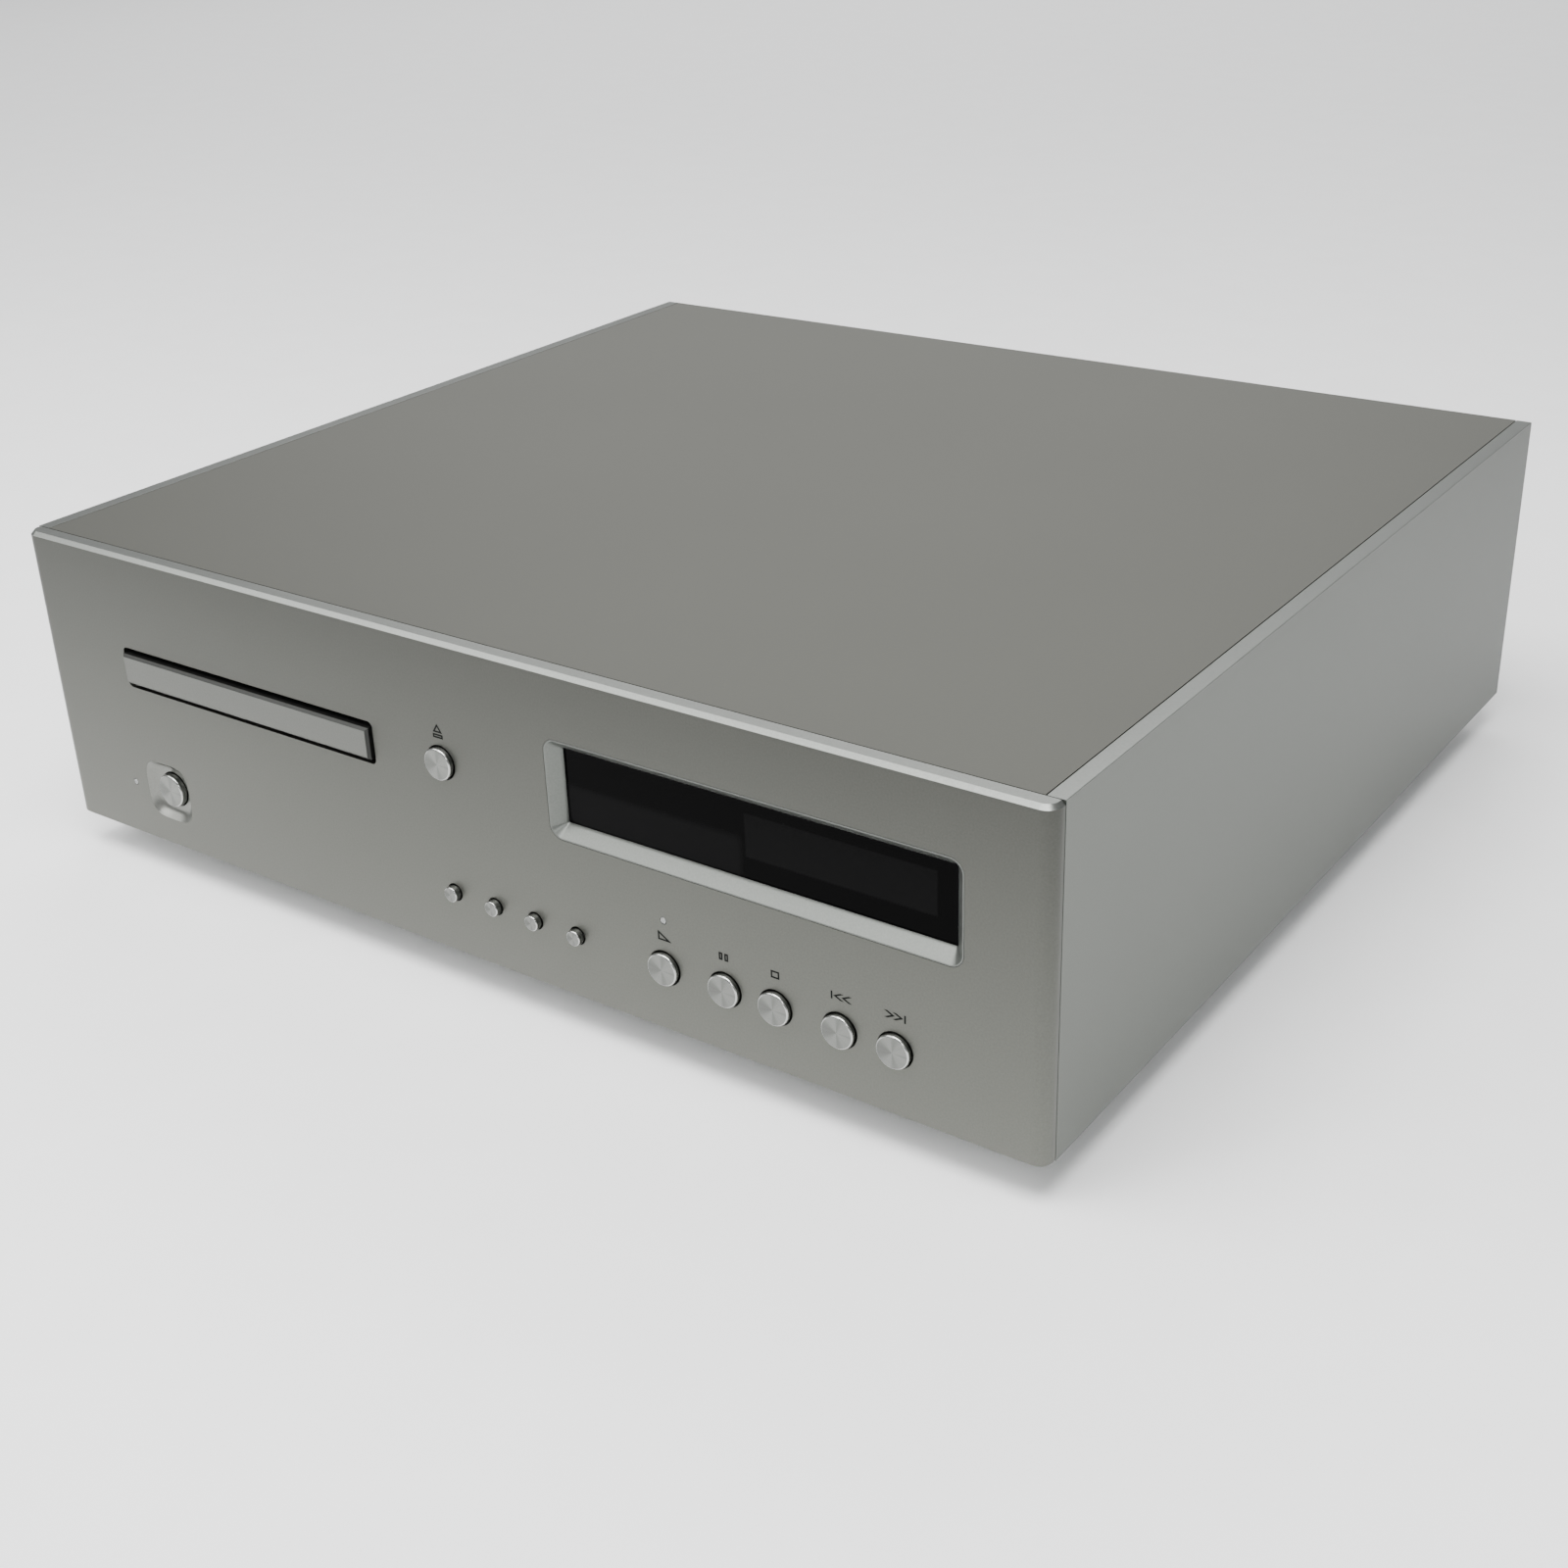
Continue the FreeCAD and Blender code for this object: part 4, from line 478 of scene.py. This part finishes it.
def cap_radius(node):
    # the flange behind the panel is the widest part; the cap has its own size
    if node == "power_button":
        return POWER_CAP_R
    return MODE_CAP_R if node.startswith("mode") else CAP_R


def block_cutter(middle, size, r, y0, y1):
    w, h = size
    low = (middle.x - w / 2, y0, middle.z - h / 2)
    high = (middle.x + w / 2, y1, middle.z + h / 2)
    return rounded_cube("cutter", low, high, r)


def squircle(piece, middle, w, h, power):
    # pushes the rim of a round face out to a squared circle
    for vertex in piece.data.vertices:
        if not vertex.select:
            continue
        a = math.atan2(vertex.co.z - middle.z, vertex.co.x - middle.x)
        c, s = math.cos(a), math.sin(a)
        reach = (abs(c / (w / 2)) ** power + abs(s / (h / 2)) ** power) ** (-1 / power)
        vertex.co.x = middle.x + reach * c
        vertex.co.z = middle.z + reach * s


def dish_cutter(node):
    # a bowl that starts square with round corners, ends round and runs on as the button's hole
    middle = centre(node)
    hole = 2 * (cap_radius(node) + HOLE_GAP)
    piece = rod("dish_cutter", middle.x, middle.z, DISH_SIZE[0] / 2, FRONT - CUT_PAST / 2, DISH_START)
    pick(piece, "VERT", lambda v: True)
    done()
    squircle(piece, middle, *DISH_SIZE, DISH_POWER)
    for i in range(1, DISH_STEPS + 2):
        t = min(i / DISH_STEPS, 1)
        ring = 1 - (1 - t) ** 2
        depth = DISH_DEPTH * ring * (0.5 + 0.5 * ring * (3 - 2 * ring))
        if i > DISH_STEPS:
            depth = PANEL_BACK - FRONT + CUT_PAST
        pick(piece, "FACE", lambda f: f.normal.y > 0.9 and len(f.vertices) > 4)
        bpy.ops.mesh.extrude_region_move(TRANSFORM_OT_translate={"value": (0, 0.1 * MM, 0)})
        done()
        for vertex in piece.data.vertices:
            if vertex.select:
                vertex.co.y = DISH_START + depth
        squircle(piece, middle, *(size + (hole - size) * t for size in DISH_SIZE),
                 DISH_POWER + (2 - DISH_POWER) * t)
    return piece


def front_panel():
    panel = cube("front_panel_skin", (PANEL_LOW.x, FRONT, BODY_BOTTOM), (PANEL_HIGH.x, PANEL_BACK, BODY_TOP))
    pick(panel, "EDGE", lambda e: all(p.y < FRONT + TOUCH for p in ends(panel, e))
         and near(ends(panel, e)[0].x, ends(panel, e)[1].x))
    bpy.ops.mesh.bevel(offset=CORNER_R, segments=16, affect="EDGES")
    done()
    for level, width in ((BODY_TOP, TOP_CHAMFER), (BODY_BOTTOM, TOP_CHAMFER / 2)):
        pick(panel, "EDGE", lambda e: all(near(p.z, level) for p in ends(panel, e))
             and not all(p.y > PANEL_BACK - TOUCH for p in ends(panel, e)))
        bpy.ops.mesh.bevel(offset=width, segments=1, affect="EDGES")
        done()
    y0 = FRONT - CUT_PAST
    y1 = PANEL_BACK + CUT_PAST
    carve(panel, block_cutter(SLOT, SLOT_SIZE, SLOT_R, y0, y1))
    carve(panel, block_cutter(centre("display_bezel"), DISPLAY_SIZE, DISPLAY_R, y0, y1))
    carve(panel, dish_cutter("power_button"))
    for name in BUTTONS[1:]:
        c = centre(name)
        carve(panel, rod("cutter", c.x, c.z, cap_radius(name) + HOLE_GAP, y0, y1))
    for lamp in LAMPS:
        carve(panel, rod("cutter", lamp.x, lamp.z, LAMP_HOLE_R, y0, y1, 32))
    soften(panel, 0.1 * MM, 2, 28)
    dress(panel, "root", "panel_aluminium", PANEL, EDGE, DISH_WITH_PAINTED_HIGHLIGHT, replaces=["front_panel"])
    bowl = centre("power_button")
    # faces in the dish below take the lighter dish metal, whose lighter tone is a painted highlight
    for face in panel.data.polygons:
        out = face.center - bowl
        over_dish = abs(out.x) < DISH_SIZE[0] / 2 and abs(out.z) < DISH_SIZE[1] / 2
        if face.center.z > BODY_TOP - 2 * MM and face.normal.z > 0.3:
            face.material_index = 1
        elif over_dish and face.center.y > FRONT + 0.02 * MM:
            face.material_index = 2
    return panel


def bezel():
    # a frame whose inner walls slope back to the window, with the corners swept round
    low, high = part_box("display_bezel")
    piece = rounded_cube("display_bezel_skin", low, high, DISPLAY_R - 0.15 * MM, 12)
    pick(piece, "FACE", lambda f: f.normal.y < -0.9)
    bpy.ops.mesh.inset(thickness=0.45 * MM, depth=0)
    bpy.ops.mesh.inset(thickness=3.4 * MM, depth=-3.6 * MM)
    bpy.ops.mesh.inset(thickness=0.55 * MM, depth=-1.2 * MM)
    bpy.ops.mesh.delete(type="FACE")
    pick(piece, "FACE", lambda f: f.normal.y > 0.9)
    bpy.ops.mesh.delete(type="FACE")
    bpy.ops.mesh.select_mode(type="EDGE")
    bpy.ops.mesh.select_non_manifold(extend=False, use_wire=False, use_boundary=True, use_multi_face=False,
                                     use_non_contiguous=False, use_verts=False)
    bpy.ops.mesh.bridge_edge_loops()
    done()
    soften(piece, 0.1 * MM, 2, 25)
    return dress(piece, "root", "panel_aluminium", BEZEL, replaces=["display_bezel"])


# Sides, cover and tray front

def side_skin(node):
    low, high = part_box(node)
    outer = high.x if high.x > 0 else low.x
    piece = cube(node + "_skin", low, high)
    pick(piece, "EDGE", lambda e: all(near(p.z, high.z) and near(p.x, outer) for p in ends(piece, e)))
    bpy.ops.mesh.bevel(offset=SIDE_CHAMFER, segments=2, affect="EDGES")
    done()
    soften(piece, 0.08 * MM, 2, 40)
    dress(piece, "root", "side_aluminium", RIGHT_SIDE if outer > 0 else LEFT_SIDE, EDGE, replaces=[node])
    for face in piece.data.polygons:
        if face.normal.z > 0.3:
            face.material_index = 1
    return piece


def tray_front():
    low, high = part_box("tray_front")
    piece = cube("tray_front_skin", low, high)
    pick(piece, "FACE", lambda f: f.normal.y < -0.9)
    bpy.ops.mesh.inset(thickness=TRAY_CHAMFER, depth=0)
    done()
    for vertex in piece.data.vertices:
        if vertex.co.y < low.y + TOUCH and not vertex.select:
            vertex.co.y += TRAY_CHAMFER
    soften(piece, 0.06 * MM, 2, 20)
    dress(piece, "tray_assembly", "tray_front_aluminium", TRAY_FACE, TRAY_EDGE_SHADE, replaces=["tray_front"])
    # the chamfer faces take the near-black finish, a painted shade as if the slot's shadow fell on them
    for face in piece.data.polygons:
        face.material_index = int(face.normal.y > -0.93)
    return piece


# Buttons

def turned_map(piece, cx, cz):
    # u runs round the button and v out from its middle
    layer = piece.data.uv_layers.new(name="turned")
    mesh = piece.data
    for face in mesh.polygons:
        home = math.atan2(face.center.z - cz, face.center.x - cx)
        for corner in face.loop_indices:
            point = mesh.vertices[mesh.loops[corner].vertex_index].co
            r = math.hypot(point.x - cx, point.z - cz)
            a = math.atan2(point.z - cz, point.x - cx) if r > TOUCH else home
            while a - home > math.pi:
                a -= 2 * math.pi
            while a - home < -math.pi:
                a += 2 * math.pi
            layer.data[corner].uv = (a / (2 * math.pi), r)


def button(node):
    # lathe-turned cap with a bright bevelled rim and a face dished very slightly
    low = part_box(node)[0]
    c = centre(node)
    r = cap_radius(node)
    edge = 0.75 * MM if r > 4 * MM else 0.5 * MM
    piece = rod(node + "_cap", c.x, c.z, r, low.y, PANEL_BACK + CAP_INSIDE, 128, "TRIFAN")
    pick(piece, "EDGE", lambda e: all(abs(p.y - low.y) < 10 * TOUCH
                                      and math.hypot(p.x - c.x, p.z - c.z) > r - 10 * TOUCH
                                      for p in ends(piece, e)))
    bpy.ops.mesh.bevel(offset=edge, segments=5, affect="EDGES")
    done()
    for vertex in piece.data.vertices:
        if vertex.co.y < low.y + TOUCH and math.hypot(vertex.co.x - c.x, vertex.co.z - c.z) < TOUCH:
            vertex.co.y += CAP_DISHED
    pick(piece, "FACE", lambda f: f.normal.y < -0.95)
    bpy.ops.mesh.subdivide(number_cuts=2)
    done()
    turned_map(piece, c.x, c.z)
    dress(piece, node, "button_aluminium", TURNED, POLISHED, WALL, replaces=[node])
    for face in piece.data.polygons:
        face.material_index = 0 if face.normal.y < -0.98 else (1 if face.normal.y < -0.05 else 2)
    only(piece)
    bpy.ops.object.shade_smooth_by_angle(angle=math.radians(25))
    return piece


# Marks printed on the panel

def printed(name, points):
    # a filled shape printed on the face of the panel
    bpy.ops.object.select_all(action="DESELECT")
    bpy.ops.mesh.primitive_circle_add(vertices=len(points), radius=1, fill_type="NGON")
    piece = settle(bpy.context.object, name)
    for vertex, (x, z) in zip(piece.data.vertices, points):
        vertex.co = (x, FRONT - INK_DEPTH, z)
    piece.data.update()
    return piece


def inked(piece):
    modify(piece, "SOLIDIFY", thickness=INK_DEPTH * 0.8, offset=0)
    pick(piece, "FACE", lambda f: True)
    bpy.ops.mesh.normals_make_consistent(inside=False)
    done()
    return dress(piece, "root", "display_black", INK)


def outline(name, points):
    piece = printed(name, points)
    pick(piece, "FACE", lambda f: True)
    bpy.ops.mesh.inset(thickness=LINE, depth=0)
    bpy.ops.mesh.delete(type="FACE")
    done()
    return inked(piece)


def ring_of(x, z, w, h):
    return [(x - w / 2, z - h / 2), (x + w / 2, z - h / 2), (x + w / 2, z + h / 2), (x - w / 2, z + h / 2)]


def chevron_of(x, z, w, h):
    # an open arrow head with its point at x; w is how far its arms reach
    t = math.copysign(CHEVRON_STROKE, w)
    return [(x, z), (x + w, z + h / 2), (x + w + t, z + h / 2), (x + t, z), (x + w + t, z - h / 2),
            (x + w, z - h / 2)]


def symbols():
    e = centre("eject_button")
    z = e.z + EJECT_RISE
    base = z - 1.3 * MM
    outline("eject_mark", [(e.x - 2.1 * MM, base), (e.x + 2.1 * MM, base), (e.x, z + 1.9 * MM)])
    outline("eject_bar_mark", ring_of(e.x, z - 2.6 * MM, 4.4 * MM, 1.5 * MM))
    z = centre("play_button").z + MARK_RISE
    x = centre("play_button").x
    left = x - 1.9 * MM
    outline("play_mark", [(left, z - 1.7 * MM), (x + 3.5 * MM, z - 1.7 * MM), (left, z + 1.7 * MM)])
    x = centre("pause_button").x
    for side in (-1, 1):
        outline("pause_mark_%d" % (2 + side), ring_of(x + side * 1.1 * MM, z, 1.45 * MM, 2.7 * MM))
    outline("stop_mark", ring_of(centre("stop_button").x + 0.3 * MM, z, 3.2 * MM, 2.7 * MM))
    for name, way, reach in (("previous", -1, 2.6 * MM), ("next", 1, 3.6 * MM)):
        x = centre(name + "_button").x + way * reach
        inked(printed(name + "_bar_mark", ring_of(x, z, LINE, 2.8 * MM)))
        for i in (0, 1):
            tip = x - way * (LINE + i * CHEVRON_STEP)
            mark = chevron_of(tip, z, -way * CHEVRON_SIZE[0], CHEVRON_SIZE[1])
            inked(printed("%s_mark_%d" % (name, i + 1), mark))


# Turned pieces: lamps and feet

def lathe(name, foot, axis, profile, sides=64):
    # a turned solid, drawn from pairs of distance along the axis and radius
    along = Vector(axis)
    (d0, r0), (d1, r1) = profile[:2]
    bpy.ops.object.select_all(action="DESELECT")
    bpy.ops.mesh.primitive_cone_add(vertices=sides, radius1=r0, radius2=r1, depth=d1 - d0,
                                    end_fill_type="NGON", location=foot + along * (d0 + d1) / 2,
                                    rotation=along.to_track_quat("Z", "Y").to_euler())
    piece = settle(bpy.context.object, name)
    for d, r in profile[2:]:
        pick(piece, "FACE", lambda f: len(f.vertices) == sides and f.normal.dot(along) > 0.9)
        bpy.ops.mesh.extrude_region_move(TRANSFORM_OT_translate={"value": along * 0.1 * MM})
        done()
        for vertex in piece.data.vertices:
            if vertex.select:
                out = vertex.co - foot
                out -= along * out.dot(along)
                vertex.co = foot + along * d + out.normalized() * r
    return piece


def joined(name, pieces):
    bpy.ops.object.select_all(action="DESELECT")
    for piece in pieces:
        piece.select_set(True)
    bpy.context.view_layer.objects.active = pieces[0]
    bpy.ops.object.join()
    return settle(bpy.context.object, name)


def lamps():
    angles = [i * math.pi / 12 for i in range(1, 6)]
    dome = [(LAMP_PROUD * math.sin(a), LAMP_R * math.cos(a)) for a in angles]
    profile = [(-LAMP_DEPTH, LAMP_R), (0, LAMP_R)] + dome
    tips = [lathe("lamp_tip", place, (0, -1, 0), profile, 32) for place in LAMPS]
    piece = joined("indicator_lamp_tips", tips)
    only(piece)
    bpy.ops.object.shade_smooth_by_angle(angle=math.radians(40))
    dress(piece, "root", "lamp_plastic", LAMP, replaces=["indicator_lamps"])


def feet():
    low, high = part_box("feet")
    tall = high.z - low.z
    inner = FOOT_R - FOOT_GROOVE
    step = 0.3 * MM
    profile = [(0, FOOT_R - 1.6 * MM), (1.2 * MM, FOOT_R - 0.4 * MM), (2.4 * MM, FOOT_R),
               (tall * 0.45, FOOT_R), (tall * 0.45 + step, inner), (tall * 0.6, inner),
               (tall * 0.6 + step, FOOT_R), (tall - 1 * MM, FOOT_R), (tall, FOOT_R - 1 * MM)]
    places = [Vector((x, y, low.z)) for x in (low.x + FOOT_R, high.x - FOOT_R)
              for y in (low.y + FOOT_R, high.y - FOOT_R)]
    piece = joined("turned_feet", [lathe("foot", place, (0, 0, 1), profile, 96) for place in places])
    soften(piece, 0.15 * MM, 2, 25)
    dress(piece, "root", "foot_metal", FOOT, replaces=["feet"])


# Display behind its window

def display():
    low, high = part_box("display_module")
    front = low.y + 0.05 * MM
    edge = WINDOW.x + TUBE_LEFT
    card = cube("display_card", (low.x + 5 * MM, front, low.z + 3 * MM),
                (edge - 1.5 * MM, front + CARD_THICK, high.z - 3 * MM))
    soften(card, 0.1 * MM)
    dress(card, "root", "display_black", DISPLAY)
    foot = WINDOW.z + TUBE_BOTTOM
    tube = rounded_cube("display_tube", (edge, front + 0.8 * MM, foot),
                        (edge + TUBE_SIZE[0], front + 5 * MM, foot + TUBE_SIZE[1]), 1.2 * MM)
    soften(tube, 0.3 * MM, 3)
    dress(tube, "root", "display_black", TUBE)
    for i, (x, z) in enumerate((x, z) for z in DOT_LEVELS for x in DOT_PLACES):
        place = Vector((WINDOW.x + x, front, WINDOW.z + z))
        dot = lathe("display_dot_%d" % (i + 1), place, (0, -1, 0), DOT_PROFILE, 24)
        dress(dot, "root", "lamp_plastic", DOT)


# Finishes of the carried-over pieces, by their slot in the record

def finish_nodes():
    finishes = {"panel_aluminium": PANEL, "side_aluminium": RIGHT_SIDE, "cover_metal": COVER,
                "button_aluminium": TURNED, "tray_front_aluminium": TRAY_FACE, "window_glass": GLASS,
                "display_black": DISPLAY,
                "lamp_plastic": LAMP, "chassis_steel": STEEL, "rear_metal": REAR, "black_plastic": BLACK,
                "gear_plastic": GEARS, "rubber": RUBBER, "foot_metal": FOOT, "motor_steel": BRIGHT,
                "traverse_metal": CASTING, "bright_steel": BRIGHT, "lens_glass": LENS, "board": BOARD,
                "capacitor_sleeve": SLEEVE, "transformer_wrap": TAPE, "clamp_steel": STEEL,
                "heat_sink_black": FINS, "jack_brass": GOLD}
    for part in frame["record"]["subparts"]:
        piece = NODES[part["node"]]
        if not piece.material_slots:
            piece.data.materials.append(None)
        for slot in piece.material_slots:
            slot.material = finishes[part["material_slot"]]


# Floor, light and camera

def stage():
    bpy.ops.object.select_all(action="DESELECT")
    bpy.ops.mesh.primitive_plane_add(size=FLOOR_SIZE, location=(0, 0, CAD_BOX[0].z - 0.05 * MM))
    floor = settle(bpy.context.object, "floor")
    floor.data.materials.append(moulded("pale_floor", (0.92, 0.92, 0.92), 0.9, 30.0, 0.0, 0.01))


def area_light(name, place, aim, size, power):
    bpy.ops.object.light_add(type="AREA", location=place)
    lamp = bpy.context.object
    lamp.name = name
    lamp.data.shape = "RECTANGLE"
    lamp.data.size, lamp.data.size_y = size
    lamp.data.energy = power
    lamp.rotation_euler = (Vector(aim) - Vector(place)).to_track_quat("-Z", "Y").to_euler()


def lights():
    world = bpy.data.worlds.new("studio")
    bpy.context.scene.world = world
    world.use_nodes = True
    sky = world.node_tree.nodes["Background"].inputs
    sky["Color"].default_value = (0.97, 0.99, 1.0, 1)
    sky["Strength"].default_value = 0.5
    area_light("ceiling_panel", (0.15, -0.6, 1.75), (0.1, -0.4, 0), (1.5, 1.0), 62)
    area_light("back_wash", (-1.7, 2.6, 2.6), (-1.5, 2.2, 0), (3.0, 2.0), 80)
    area_light("front_panel_light", (-0.95, -1.15, 1.3), (0, -0.1, 0.08), (1.5, 0.9), 22)
    area_light("side_window", (1.1, -1.5, 1.05), (0.05, -0.2, 0.06), (0.5, 0.5), 7)


def camera():
    azimuth, elevation, roll = (math.radians(a) for a in (AZIMUTH, ELEVATION, ROLL))
    ahead = Vector((-math.sin(azimuth) * math.cos(elevation), math.cos(azimuth) * math.cos(elevation),
                    -math.sin(elevation)))
    level = ahead.cross(Vector((0, 0, 1))).normalized()
    upright = level.cross(ahead)
    right = level * math.cos(roll) + upright * math.sin(roll)
    up = upright * math.cos(roll) - level * math.sin(roll)
    bpy.ops.object.camera_add(location=Vector(EYE) * MM)
    view = bpy.context.object
    view.rotation_euler = Matrix((right, up, -ahead)).transposed().to_euler()
    view.data.lens = LENS_LENGTH
    view.data.shift_x, view.data.shift_y = SHIFT
    bpy.context.scene.camera = view


finish_nodes()
front_panel()
bezel()
side_skin("left_side_panel")
side_skin("right_side_panel")
tray_front()
for name in BUTTONS:
    button(name)
symbols()
lamps()
display()
feet()
stage()
lights()
camera()
